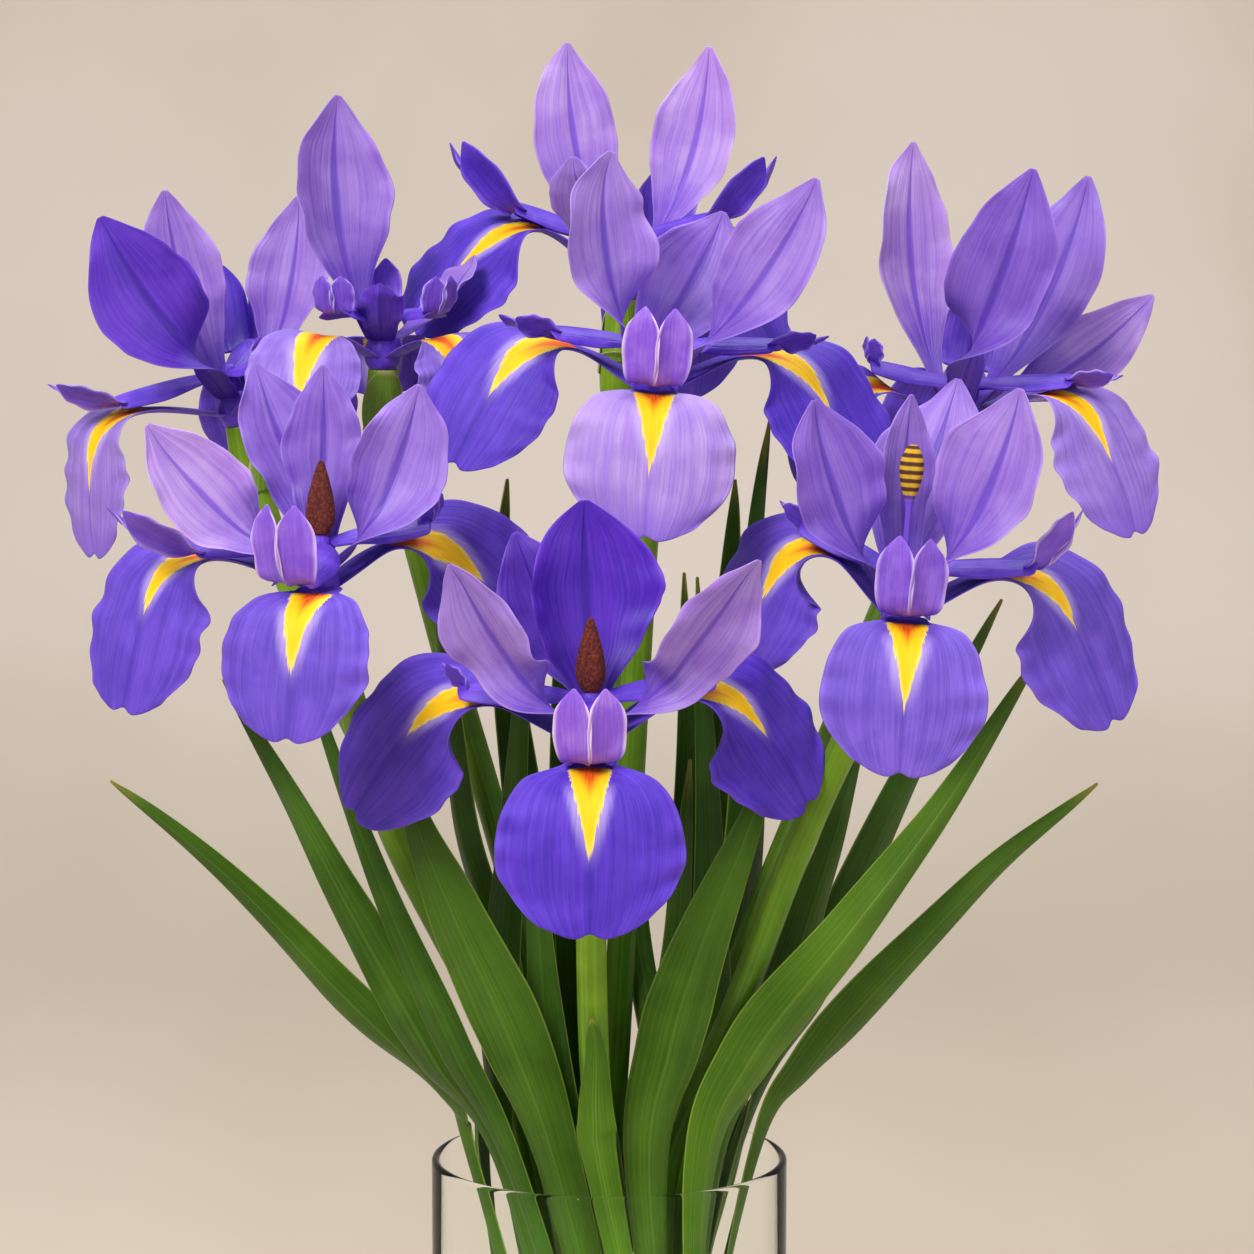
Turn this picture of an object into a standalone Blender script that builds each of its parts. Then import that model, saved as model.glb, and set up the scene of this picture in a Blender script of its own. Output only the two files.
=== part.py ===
"""Eight cut irises with their strap leaves, standing in a clear glass cylinder vase.

The frame is metres with +Z up. The origin is the centre of the vase's flat underside, and the front
of the bouquet faces -Y. Sizes below are in millimetres and MM turns them to metres.
"""

import math
from collections import namedtuple

import bmesh
import bpy
from mathutils import Matrix, Vector

MM = 0.001

# The vase, a plain cylinder with a thick floor.
VASE_RADIUS = 45.0
VASE_HEIGHT = 200.0
VASE_WALL = 2.0
VASE_FLOOR = 10.0
VASE_HEEL = 3.0
VASE_SIDES = 48

# Inside the vase, stems and leaves lean from the rim to the far side of the floor. All of them turn the
# same way round the axis by CROSSING degrees, so that they pass each other without touching.
CROSSING = 105.0
FOOT_HEIGHT = VASE_FLOOR + 3.0
STEM_RING = 20.0
STEM_RADIUS = 3.6
LEAF_THICKNESS = 1.2

# The three whorls of a flower. Each petal's width runs through keys of (share of length, half width)
# and its midrib climbs at angles through keys of (share of length, degrees above level). A cup curls
# a petal's edges up and an arch curls them down, both in 1/mm. The keys of a style run along its arm up to
# STYLE_SPLIT, and along its crest from there. A start is where a midrib sets off, as (radius, height).
PETAL_THICKNESS = 1.0
WHORL_STEP = 120.0
FALL_START = (3.0, -1.0)
STANDARD_START = (3.0, 3.5)
STYLE_START = (1.8, 9.6)
FALL_LENGTH = 76.0
FALL_HALF_WIDTH = (
    (0.0, 2.6), (0.12, 3.8), (0.24, 5.0), (0.31, 5.8), (0.38, 9.6), (0.44, 14.8), (0.54, 19.0),
    (0.70, 20.8), (0.82, 20.2), (0.92, 17.0), (1.0, 12.5),
)
FALL_ROUNDING = 0.07
FALL_HAFT_CUP, FALL_BLADE_CUP = 0.07, -0.012
STANDARD_LENGTH = 62.0
STANDARD_HALF_WIDTH = (
    (0.0, 2.0), (0.15, 3.0), (0.35, 8.2), (0.54, 12.3), (0.68, 12.2),
    (0.82, 9.0), (0.93, 4.2), (1.0, 0.7),
)
STANDARD_CUP = 0.035
STYLE_ARM_LENGTH = 32.0
STYLE_CREST_LENGTH = 19.0
STYLE_SPLIT = 0.62
STYLE_HALF_WIDTH = (
    (0.0, 2.0), (0.16, 3.7), (0.32, 5.9), (0.46, 6.2), (0.60, 5.4), (0.74, 8.4), (0.88, 8.7), (1.0, 5.6),
)
STYLE_ARCH = -0.15
STYLE_FULL_SIZE = 0.8

# Hubs that join the three petals of a whorl, stacked on the flower's axis: radius, bottom, top.
FALL_HUB = (5.0, -4.5, 1.0)
STANDARD_HUB = (4.2, 1.6, 4.6)
STYLE_HUB = (2.4, 5.6, 11.0)
STEM_GAP = 0.8

# Under the petals the stem runs straight along the flower's axis, and swells into the ovary:
# the length of the straight neck, then how far down the ovary lies, its spread, and its swell over the stem.
NECK_LENGTH = 12.0
OVARY_DEPTH, OVARY_SPREAD, OVARY_SWELL = 16.0, 14.0, 0.45

# A leaf narrows towards its foot and its tip. Above the rim its blade turns to its own azimuth over
# LEAF_TURN_HEIGHT, in vase heights.
LEAF_FOOT_SHARE = 0.36
LEAF_TIP_SHARE = 0.45
LEAF_LEAST_HALF_WIDTH = 0.7
LEAF_FOLD = 0.12
LEAF_TURN_HEIGHT = 0.25

# Half width of an anther on its filament, through keys of (share of height, half width), and its height.
ANTHER_BROAD = (((0.0, 2.0), (0.20, 3.5), (0.45, 3.3), (0.78, 1.9), (1.0, 0.6)), 18.0)
ANTHER_TALL = (((0.0, 0.9), (0.50, 0.9), (0.66, 2.4), (0.85, 2.9), (1.0, 1.2)), 29.0)
ANTHER_FOOT = STYLE_HUB[2] + 0.5

# Azimuths run from 0 at the right (+X) through 90 at the back (+Y), and the viewer stands at -90.
# A petal sets off from its place in the whorl and bends sideways by its sweep. It turns its upper side,
# which is the inner side of a standard, to the azimuth face. A fourth standard has a start of its own.
# A fall sets off at its lift above level and hangs at its droop. Its style arm lies over it, with a crest
# that stands up at its own rise.
Fall = namedtuple(
    "Fall", "sweep face size width lift droop crest rise", defaults=(0, None, 1.0, 1.0, 26, -86, 1.0, 78)
)
Standard = namedtuple(
    "Standard", "sweep face lean length width curl start", defaults=(0, None, 24, 1.0, 1.0, 0, None)
)

# One flower: hub is its centre, tilt is (towards, degrees), heading is where its first fall points, rim
# and path are where its stem meets the vase's rim and the points it passes from the top down.
FLOWERS = {
    "iris_front": {
        "hub": (-4, -75, 318), "tilt": (-90, 6), "heading": -90, "rim": 270,
        "path": ((-4, -66, 292), (-4, -54, 258), (-3, -38, 225)),
        "falls": (
            Fall(size=0.88, width=1.07, lift=2),
            Fall(sweep=-14, face=-35, size=0.94, width=0.95, droop=-60, crest=0.45, rise=44),
            Fall(sweep=14, face=-140, width=0.95, lift=20, droop=-57, crest=0.4, rise=44),
        ),
        "standards": (
            Standard(sweep=0, face=-70, lean=38, length=1.0, width=0.85, curl=8),
            Standard(sweep=20, lean=10, length=0.86, width=1.5),
            Standard(sweep=-6, face=-115, lean=34, length=0.88, width=0.9, curl=4),
            Standard(start=90, sweep=76, face=-80, lean=32, length=0.84),
        ),
        "anther": ANTHER_BROAD,
    },
    "iris_left": {
        "hub": (-69, -50, 352), "tilt": (0, 1), "heading": -85, "rim": 225,
        "path": ((-63, -36, 322), (-52, -25, 285), (-30, -20, 240)),
        "falls": (
            Fall(sweep=-28, size=0.82, width=0.92, lift=4),
            Fall(sweep=-18, face=-60, size=0.84, width=0.8, lift=30, droop=-46, crest=0.4, rise=64),
            Fall(sweep=40, face=-135, size=0.98, lift=16, droop=-80, crest=1.1, rise=28),
        ),
        "standards": (
            Standard(sweep=60, face=-75, lean=24, length=0.82),
            Standard(sweep=46, face=-60, lean=34, length=0.96),
            Standard(sweep=-26, face=-60, lean=46, length=0.88, width=0.95),
            Standard(start=95, sweep=-20, face=-100, lean=6, length=0.80, width=0.8),
        ),
        "anther": ANTHER_BROAD,
    },
    "iris_right": {
        "hub": (70, -50, 345), "tilt": (0, 4), "heading": -90, "rim": 315,
        "path": ((61, -46, 320), (46, -37, 285), (30, -27, 240)),
        "falls": (
            Fall(size=0.84, width=0.95, lift=4),
            Fall(sweep=-24, face=-45, size=1.02, droop=-66, crest=0.9, rise=55),
            Fall(sweep=8, face=-140, size=0.84, width=0.9, lift=42, droop=-74, crest=0.45, rise=34),
        ),
        "standards": (
            Standard(sweep=26, face=-120, lean=20, length=0.94, width=1.2),
            Standard(sweep=-34, face=-110, lean=32, length=1.02, width=1.15),
            Standard(sweep=-20, face=-60, lean=24, length=0.86, width=1.1),
            Standard(start=90, sweep=20, face=-70, lean=6, length=0.80, width=0.6),
        ),
        "anther": ANTHER_TALL,
    },
    "iris_centre": {
        "hub": (11, -12, 396), "tilt": (0, 4), "heading": -90, "rim": 90,
        "path": ((9, -8, 365), (6, 0, 310), (3, 12, 250)),
        "falls": (
            Fall(size=0.84, lift=4),
            Fall(sweep=-44, face=-50, size=0.98, width=0.9, droop=-60, crest=0.6, rise=14),
            Fall(sweep=54, face=-112, size=0.9, width=0.8, droop=-66, crest=0.6, rise=14),
        ),
        "standards": (
            Standard(sweep=16, face=-115, lean=32, length=1.02),
            Standard(sweep=-66, face=-95, lean=30, length=0.78, width=1.1),
            Standard(sweep=-8, face=-60, lean=13, length=0.92, width=1.1, curl=-10),
        ),
    },
    "iris_upper_left": {
        "hub": (-57, 20, 402), "tilt": (180, 0), "heading": -150, "rim": 135,
        "path": ((-53, 22, 370), (-40, 22, 320), (-22, 18, 255)),
        "falls": (
            Fall(sweep=40, face=-95, size=0.6, width=0.7, droop=-64, crest=0.5),
            Fall(sweep=-10, face=-60, size=0.5, width=0.6, droop=-70, crest=0.5),
            Fall(sweep=14, size=0.38, width=0.7, crest=0.7),
        ),
        "standards": (
            Standard(lean=40, length=0.34, width=0.5), Standard(sweep=-10, lean=44, length=0.5, width=0.8),
            Standard(sweep=20, face=-60, lean=6, length=1.02, width=1.2),
        ),
    },
    "iris_far_left": {
        "hub": (-95, 30, 387), "tilt": (190, 12), "heading": -50, "rim": 180,
        "path": ((-88, 30, 358), (-68, 24, 313), (-36, 10, 250)),
        "falls": (
            Fall(sweep=10, size=0.42, width=0.5, crest=0.4),
            Fall(sweep=16, size=0.8, lift=30, crest=1.3, rise=60),
            Fall(face=-145, size=0.88, width=0.8, lift=18, droop=-82, crest=0.9, rise=26),
        ),
        "standards": (
            Standard(sweep=20, face=-110, lean=26, length=0.86, width=0.9),
            Standard(sweep=16, face=-70, lean=4, length=0.9, width=0.9),
            Standard(sweep=-50, face=-80, lean=25, length=0.98, width=1.15),
        ),
    },
    "iris_back": {
        "hub": (3, 45, 418), "tilt": (90, 4), "heading": 70, "rim": 45,
        "path": ((2, 42, 385), (2, 36, 330), (6, 24, 260)),
        "falls": (
            Fall(), Fall(sweep=-6, face=-140, size=0.9, width=0.95, lift=44, droop=-52, crest=1.2, rise=50),
            Fall(sweep=38, face=-40, size=0.88, width=0.8, lift=38, droop=-70, crest=1.1, rise=50),
        ),
        "standards": (
            Standard(sweep=45, face=-75, lean=11, length=1.0, width=0.95),
            Standard(lean=46, length=0.7, width=0.9),
            Standard(sweep=-10, face=-105, lean=16, length=1.0, width=0.9),
        ),
    },
    "iris_upper_right": {
        "hub": (88, 25, 384), "tilt": (0, 10), "heading": 85, "rim": 0,
        "path": ((78, 24, 356), (60, 18, 313), (34, 6, 250)),
        "falls": (
            Fall(), Fall(sweep=-30, face=-132, size=0.74, width=0.66, lift=24, crest=0.35, rise=74),
            Fall(sweep=19, face=-45, size=0.92, width=0.9, lift=36, droop=-62, crest=0.6, rise=16),
        ),
        "standards": (
            Standard(sweep=35, face=-60, lean=16, length=1.12, width=0.95),
            Standard(sweep=36, face=-100, lean=18, length=1.12, width=1.1),
            Standard(sweep=-15, face=-110, lean=15, length=1.1),
            Standard(start=16, sweep=-8, face=-100, lean=46, length=0.92, width=0.75),
        ),
    },
}

# One leaf: its place on the rim as (azimuth, radius), its widest width, the azimuth its blade faces above
# the rim, and the points it passes from the rim up, the last of them its tip.
LEAVES = {
    "leaf_far_left": (
        (193, 36), 13.0, -112,
        ((-42, -14, 219), (-68, -22, 248), (-94, -27, 277), (-122, -30, 301)),
    ),
    "leaf_left_tall": (
        (217, 33), 14.0, -105,
        ((-43, -26, 230), (-61, -27, 263), (-76, -24, 291), (-96, -8, 323)),
    ),
    "leaf_left_slim": (
        (234, 38), 9.0, -100,
        ((-38, -33, 234), (-52, -33, 266), (-65, -25, 298), (-79, -6, 336)),
    ),
    "leaf_left_broad": (
        (250, 34), 18.0, -100,
        ((-23, -40, 236), (-37, -45, 269), (-45, -45, 289), (-51, -42, 307)),
    ),
    "leaf_centre": (
        (269, 38), 10.0, -90,
        ((-3, -44, 219), (-3, -50, 236), (-4, -56, 247)),
    ),
    "leaf_right_broad": (
        (287, 34), 17.0, -85,
        ((15, -40, 236), (23, -45, 264), (32, -46, 287), (40, -43, 308)),
    ),
    "leaf_right_tall": (
        (308, 38), 16.0, -75,
        ((35, -36, 233), (59, -38, 265), (81, -34, 294), (106, -18, 330)),
    ),
    "leaf_right_slim": (
        (325, 33), 12.0, -70,
        ((40, -18, 235), (50, -18, 266), (58, -15, 292), (69, 5, 331)),
    ),
    "leaf_far_right": (
        (344, 38), 13.0, -68,
        ((50, -16, 226), (73, -20, 254), (96, -24, 279), (120, -28, 300)),
    ),
    "leaf_right_back": (
        (5, 33), 13.0, -60,
        ((51, 0, 240), (68, 2, 281), (83, 4, 311), (99, 8, 341)),
    ),
    "leaf_back_right": (
        (28, 38), 14.0, -60,
        ((32, 18, 236), (36, 14, 289), (36, 8, 341), (40, 2, 387)),
    ),
    "leaf_back": (
        (54, 33), 14.0, 70,
        ((21, 40, 232), (27, 36, 285), (31, 30, 338), (32, 22, 370)),
    ),
    "leaf_back_left": (
        (128, 36), 14.0, 110,
        ((-17, 40, 232), (-23, 36, 285), (-28, 28, 333), (-26, 24, 370)),
    ),
    "leaf_left_back": (
        (160, 36), 13.0, 220,
        ((-27, 14, 237), (-38, 8, 285), (-42, 2, 331), (-43, 0, 357)),
    ),
    "leaf_inner_left": (
        (250, 28.5), 12.0, -95,
        ((-14, -30, 225), (-17, -32, 262), (-19, -30, 302)),
    ),
    "leaf_inner_right": (
        (290, 28.5), 12.0, -85,
        ((14, -30, 225), (17, -31, 262), (20, -28, 306)),
    ),
    "leaf_mid_left": (
        (201, 28.5), 12.0, -100,
        ((-28, -6, 240), (-24, -3, 290), (-20, -2, 345)),
    ),
    "leaf_mid_right": (
        (335, 28.5), 12.0, -80,
        ((26, -8, 240), (25, -4, 290), (22, -2, 348)),
    ),
    "leaf_inner_back_left": (
        (100, 28.5), 13.0, 95,
        ((-8, 24, 240), (-12, 18, 290), (-12, 12, 352)),
    ),
    "leaf_inner_back_right": (
        (72, 28.5), 12.0, 80,
        ((18, 27, 240), (20, 22, 290), (19, 16, 347)),
    ),
}

COLOURS = {
    "glass": ((0.80, 0.86, 0.84, 0.35), 0.05),
    "stem": ((0.16, 0.33, 0.05, 1.0), 0.5),
    "leaf": ((0.09, 0.26, 0.03, 1.0), 0.45),
    "fall": ((0.10, 0.05, 0.50, 1.0), 0.6),
    "standard": ((0.28, 0.16, 0.62, 1.0), 0.6),
    "style": ((0.32, 0.18, 0.60, 1.0), 0.6),
    "anther": ((0.30, 0.06, 0.02, 1.0), 0.8),
}


def clear_scene():
    for obj in list(bpy.data.objects):
        bpy.data.objects.remove(obj, do_unlink=True)


def material(kind):
    found = bpy.data.materials.get(kind)
    if found:
        return found
    colour, roughness = COLOURS[kind]
    made = bpy.data.materials.new(kind)
    made.use_nodes = True
    shader = made.node_tree.nodes["Principled BSDF"]
    shader.inputs["Base Color"].default_value = colour
    shader.inputs["Roughness"].default_value = roughness
    shader.inputs["Metallic"].default_value = 0.0
    shader.inputs["Transmission Weight"].default_value = 1.0 if kind == "glass" else 0.0
    return made


def object_from(name, mesh, kind):
    obj = bpy.data.objects.new(name, mesh)
    bpy.context.scene.collection.objects.link(obj)
    obj.data.materials.append(material(kind))
    return obj


def through_keys(keys, share):
    """A smooth curve through (share, value) keys."""
    last = len(keys) - 1
    i = max(k for k in range(last) if keys[k][0] <= share or k == 0)
    (s0, v0), (s1, v1) = keys[i], keys[i + 1]

    def slope(k):
        a, b = keys[max(k - 1, 0)], keys[min(k + 1, last)]
        return (b[1] - a[1]) / (b[0] - a[0])

    span = s1 - s0
    x = min(max((share - s0) / span, 0.0), 1.0)
    return (
        (2 * x**3 - 3 * x**2 + 1) * v0 + (x**3 - 2 * x**2 + x) * span * slope(i)
        + (3 * x**2 - 2 * x**3) * v1 + (x**3 - x**2) * span * slope(i + 1)
    )


def eased(x):
    x = min(max(x, 0.0), 1.0)
    return x * x * (3 - 2 * x)


def level(degrees):
    """The unit vector at an azimuth, 0 along +X and 90 along +Y."""
    turn = math.radians(degrees)
    return Vector((math.cos(turn), math.sin(turn), 0.0))


def shortest_turn(degrees):
    return (degrees + 180.0) % 360.0 - 180.0


class Midrib:
    """A petal's midrib in the flower's own frame, with the directions along and across the petal.

    The roll turns the petal round its midrib, and comes on between the two shares in rolled.
    """

    STEPS = 60

    def __init__(self, start, azimuth, sweep, climb, length, roll=0.0, rolled=(0.1, 0.5)):
        place = level(azimuth) * start[0] + Vector((0.0, 0.0, start[1]))
        self.stations = []
        for i in range(self.STEPS + 1):
            share = i / self.STEPS
            heading = azimuth + sweep * eased((share - 0.05) / 0.5)
            rise = math.radians(climb(share))
            along = level(heading) * math.cos(rise) + Vector((0.0, 0.0, math.sin(rise)))
            turn = math.radians(roll) * eased((share - rolled[0]) / (rolled[1] - rolled[0]))
            across = Matrix.Rotation(turn, 3, along) @ level(heading + 90.0)
            self.stations.append((place.copy(), along, across))
            place += along * (length / self.STEPS)

    def at(self, share):
        x = min(max(share, 0.0), 1.0) * self.STEPS
        i = min(int(x), self.STEPS - 1)
        (p0, d0, a0), (p1, d1, a1) = self.stations[i], self.stations[i + 1]
        x -= i
        return p0.lerp(p1, x), d0.lerp(d1, x).normalized(), a0.lerp(a1, x).normalized()


def surface_point(midrib, share, side, half_width, bend, rounding=0.0):
    """A point on a petal: side runs from -1 to 1 across it, and bend curls its edges up in 1/mm."""
    place, along, across = midrib.at(share - rounding * eased(2 * share - 1) * side * side)
    x = side * half_width
    arc = x * bend
    sideways = math.sin(arc) / bend if abs(arc) > 1e-6 else x
    lift = (1 - math.cos(arc)) / bend if abs(arc) > 1e-6 else 0.0
    return place + across * sideways + along.cross(across) * lift


def sheet_object(name, columns, rows, place, thickness, kind):
    """A sheet laid out as a grid, placed by place(share along, side), and thickened to a closed solid."""
    bm = bmesh.new()
    bmesh.ops.create_grid(bm, x_segments=columns, y_segments=rows, size=1.0)
    for vert in bm.verts:
        vert.co = place((vert.co.y + 1) / 2, vert.co.x) * MM
    mesh = bpy.data.meshes.new(name)
    bm.to_mesh(mesh)
    bm.free()
    obj = object_from(name, mesh, kind)
    solid = obj.modifiers.new("thickness", "SOLIDIFY")
    solid.thickness = thickness * MM
    solid.offset = 0.0
    return obj


def hub_object(name, hub, kind):
    radius, low, high = hub
    bm = bmesh.new()
    bmesh.ops.create_cone(
        bm, cap_ends=True, segments=12, radius1=radius * MM, radius2=radius * MM, depth=(high - low) * MM
    )
    bmesh.ops.translate(bm, verts=bm.verts, vec=(0.0, 0.0, (high + low) / 2 * MM))
    mesh = bpy.data.meshes.new(name)
    bm.to_mesh(mesh)
    bm.free()
    return object_from(name, mesh, kind)


def fused(name, hub, petals, place):
    """The hub and its petals as one closed body, moved to its place in the bouquet."""
    for petal in petals:
        union = hub.modifiers.new("join", "BOOLEAN")
        union.operation = "UNION"
        union.solver = "EXACT"
        union.object = petal
    bpy.context.view_layer.update()
    graph = bpy.context.evaluated_depsgraph_get()
    mesh = bpy.data.meshes.new_from_object(hub.evaluated_get(graph))
    kind = hub.data.materials[0].name
    for obj in (hub, *petals):
        bpy.data.objects.remove(obj, do_unlink=True)
    mesh.name = name
    mesh.transform(place)
    mesh.materials.clear()
    mesh.shade_smooth()
    mesh.set_sharp_from_angle(angle=math.radians(50))
    return object_from(name, mesh, kind)


def flower_place(flower):
    towards, degrees = flower["tilt"]
    axis = Vector((0, 0, 1)).cross(level(towards))
    return Matrix.Translation(Vector(flower["hub"]) * MM) @ Matrix.Rotation(math.radians(degrees), 4, axis)


def fall(name, azimuth, spec):
    climb_keys = (
        (0.0, spec.lift), (0.20, spec.lift - 2), (0.36, 0.4 * spec.lift - 8), (0.45, 0.3 * spec.droop),
        (0.55, 0.75 * spec.droop), (0.66, 0.92 * spec.droop), (1.0, spec.droop),
    )
    roll = 0.0 if spec.face is None else -shortest_turn(spec.face - azimuth - spec.sweep)
    midrib = Midrib(
        FALL_START, azimuth, spec.sweep, lambda s: through_keys(climb_keys, s), FALL_LENGTH * spec.size,
        roll, (0.25, 0.6),
    )

    def place(share, side):
        half = through_keys(FALL_HALF_WIDTH, share) * (1.0 + (spec.width - 1.0) * eased(share * 3))
        bend = FALL_HAFT_CUP + (FALL_BLADE_CUP - FALL_HAFT_CUP) * eased((share - 0.25) / 0.3)
        return surface_point(midrib, share, side, half, bend, FALL_ROUNDING)

    return sheet_object(name, 4, 10, place, PETAL_THICKNESS, "fall")


def standard(name, azimuth, spec):
    climb_keys = (
        (0.0, 64.0 - spec.lean), (0.3, 82.0 - spec.lean), (0.6, 92.0 - spec.lean),
        (0.8, 98.0 - spec.lean - 0.5 * spec.curl), (1.0, 102.0 - spec.lean - spec.curl * 2),
    )
    roll = 0.0 if spec.face is None else shortest_turn(spec.face - azimuth - spec.sweep - 180.0)
    midrib = Midrib(
        STANDARD_START, azimuth, spec.sweep, lambda s: through_keys(climb_keys, s),
        STANDARD_LENGTH * spec.length, roll,
    )

    def place(share, side):
        half = through_keys(STANDARD_HALF_WIDTH, share) * (1.0 + (spec.width - 1.0) * eased(share * 3))
        return surface_point(midrib, share, side, half, STANDARD_CUP)

    return sheet_object(name, 4, 8, place, PETAL_THICKNESS, "standard")


def style_arm(name, azimuth, spec):
    climb_keys = (
        (0.0, 0.95 * spec.lift - 7), (0.18, 0.95 * spec.lift - 15), (0.42, 0.85 * spec.lift - 19),
        (0.56, 0.8 * spec.lift - 19), (0.64, 0.25 * spec.rise), (0.72, 0.8 * spec.rise),
        (0.86, spec.rise), (1.0, spec.rise - 4),
    )
    arm, crest = STYLE_ARM_LENGTH * spec.size, STYLE_CREST_LENGTH * spec.crest
    roll = 0.0 if spec.face is None else 0.7 * shortest_turn(spec.face - azimuth - spec.sweep)

    def climb(travelled):
        length = travelled * (arm + crest)
        if length < arm:
            return through_keys(climb_keys, length / arm * STYLE_SPLIT)
        return through_keys(climb_keys, STYLE_SPLIT + (length - arm) / crest * (1 - STYLE_SPLIT))

    midrib = Midrib(STYLE_START, azimuth, spec.sweep, climb, arm + crest, roll, (0.6, 0.85))

    def place(share, side):
        half = through_keys(STYLE_HALF_WIDTH, share) * (0.4 + 0.6 * min(spec.size / STYLE_FULL_SIZE, 1.0))
        half *= 1.0 + 0.7 * (spec.crest - 1.0) * eased(share * 3 - 1.4)
        if share < STYLE_SPLIT:
            length = share / STYLE_SPLIT * arm
        else:
            length = arm + (share - STYLE_SPLIT) / (1 - STYLE_SPLIT) * crest
        bend = STYLE_ARCH * (1 - eased((share - 0.5) / 0.2))
        return surface_point(midrib, length / (arm + crest), side, half, bend)

    return sheet_object(name, 2, 9, place, PETAL_THICKNESS, "style")


def build_anther(name, anther, place):
    """An anther on its filament, standing on the flower's axis above the style."""
    half_widths, height = anther
    bm = bmesh.new()
    bmesh.ops.create_uvsphere(bm, u_segments=8, v_segments=10, radius=1.0)
    for vert in bm.verts:
        share = (vert.co.z + 1) / 2
        around = Vector((vert.co.x, vert.co.y, 0.0))
        around = around.normalized() if around.length > 1e-3 else Vector()
        half = through_keys(half_widths, share)
        vert.co = (around * half + Vector((0, 0, ANTHER_FOOT + height * share))) * MM
    bmesh.ops.transform(bm, matrix=place, verts=bm.verts)
    mesh = bpy.data.meshes.new(name)
    bm.to_mesh(mesh)
    bm.free()
    mesh.shade_smooth()
    object_from(name, mesh, "anther")


def build_flower(name, flower):
    place = flower_place(flower)
    heading = flower["heading"]
    falls = [fall(f"fall_{i}", heading + WHORL_STEP * i, spec) for i, spec in enumerate(flower["falls"])]
    fused(f"{name}_falls", hub_object("hub", FALL_HUB, "fall"), falls, place)
    standards = [
        standard(
            f"standard_{i}", heading + WHORL_STEP * (i + 0.5) if spec.start is None else spec.start, spec
        )
        for i, spec in enumerate(flower["standards"])
    ]
    fused(f"{name}_standards", hub_object("hub", STANDARD_HUB, "standard"), standards, place)
    styles = [
        style_arm(f"style_{i}", heading + WHORL_STEP * i, spec) for i, spec in enumerate(flower["falls"])
    ]
    fused(f"{name}_styles", hub_object("hub", STYLE_HUB, "style"), styles, place)
    if "anther" in flower:
        build_anther(f"{name}_anther", flower["anther"], place)


def on_curve(points, share):
    """A point on the smooth Catmull-Rom curve through the given points."""
    spans = len(points) - 1
    x = min(max(share, 0.0), 1.0) * spans
    i = min(int(x), spans - 1)
    x -= i
    p = [Vector(points[min(max(k, 0), spans)]) for k in (i - 1, i, i + 1, i + 2)]
    return 0.5 * (
        2 * p[1] + (p[2] - p[0]) * x + (2 * p[0] - 5 * p[1] + 4 * p[2] - p[3]) * x**2
        + (3 * p[1] - p[0] - 3 * p[2] + p[3]) * x**3
    )


def vase_run(azimuth, radius, shares):
    """Points from the foot on the vase's floor to the rim, along one straight leaning line."""
    rim = level(azimuth) * radius + Vector((0, 0, VASE_HEIGHT))
    foot = level(azimuth + CROSSING) * (radius - 1.0) + Vector((0, 0, FOOT_HEIGHT))
    return [foot.lerp(rim, share) for share in shares]


def build_stem(name, flower):
    """The stem with the ovary and spathe as one body, which ends just below the petals."""
    place = flower_place(flower)
    axis = place.to_3x3() @ Vector((0, 0, 1))
    hub = Vector(flower["hub"])
    top = hub + axis * (FALL_HUB[1] - STEM_GAP)
    run = vase_run(flower["rim"], STEM_RING, (0.0, 0.35, 0.7, 1.0))
    points = run + [Vector(p) for p in reversed(flower["path"])] + [top - axis * NECK_LENGTH, top]
    steps = 18
    data = bpy.data.curves.new(name, "CURVE")
    data.dimensions = "3D"
    data.bevel_depth = STEM_RADIUS * MM
    data.bevel_resolution = 2
    data.use_fill_caps = True
    spline = data.splines.new("POLY")
    spline.points.add(steps)
    for i, point in enumerate(spline.points):
        place_mm = on_curve(points, i / steps)
        point.co = (*(place_mm * MM), 1.0)
        below = (top - place_mm).length
        point.radius = 1.0 + OVARY_SWELL * math.exp(-(((below - OVARY_DEPTH) / OVARY_SPREAD) ** 2))
    obj = bpy.data.objects.new(name, data)
    bpy.context.scene.collection.objects.link(obj)
    data.materials.append(material("stem"))


def build_leaf(name, rim, width, face, tips):
    azimuth, radius = rim
    points = vase_run(azimuth, radius, (0.0, 0.5, 1.0)) + [Vector(p) for p in tips]
    turn = shortest_turn(face - azimuth)

    def place(share, side):
        centre = on_curve(points, share)
        ahead = (on_curve(points, share + 0.01) - on_curve(points, share - 0.01)).normalized()
        above = (centre.z - VASE_HEIGHT) / VASE_HEIGHT
        facing = level(azimuth + CROSSING * max(0.0, -above) + turn * eased(above / LEAF_TURN_HEIGHT))
        across = ahead.cross(facing).normalized()
        normal = across.cross(ahead)
        base = LEAF_FOOT_SHARE + (1.0 - LEAF_FOOT_SHARE) * eased((share - 0.15) / 0.4)
        tip = min(1.0, (1.0 - share) / LEAF_TIP_SHARE) ** 0.75
        half = max(0.5 * width * base * tip, LEAF_LEAST_HALF_WIDTH)
        return centre + across * (side * half) - normal * (LEAF_FOLD * half * side * side)

    return sheet_object(name, 2, 14, place, LEAF_THICKNESS, "leaf")


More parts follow.
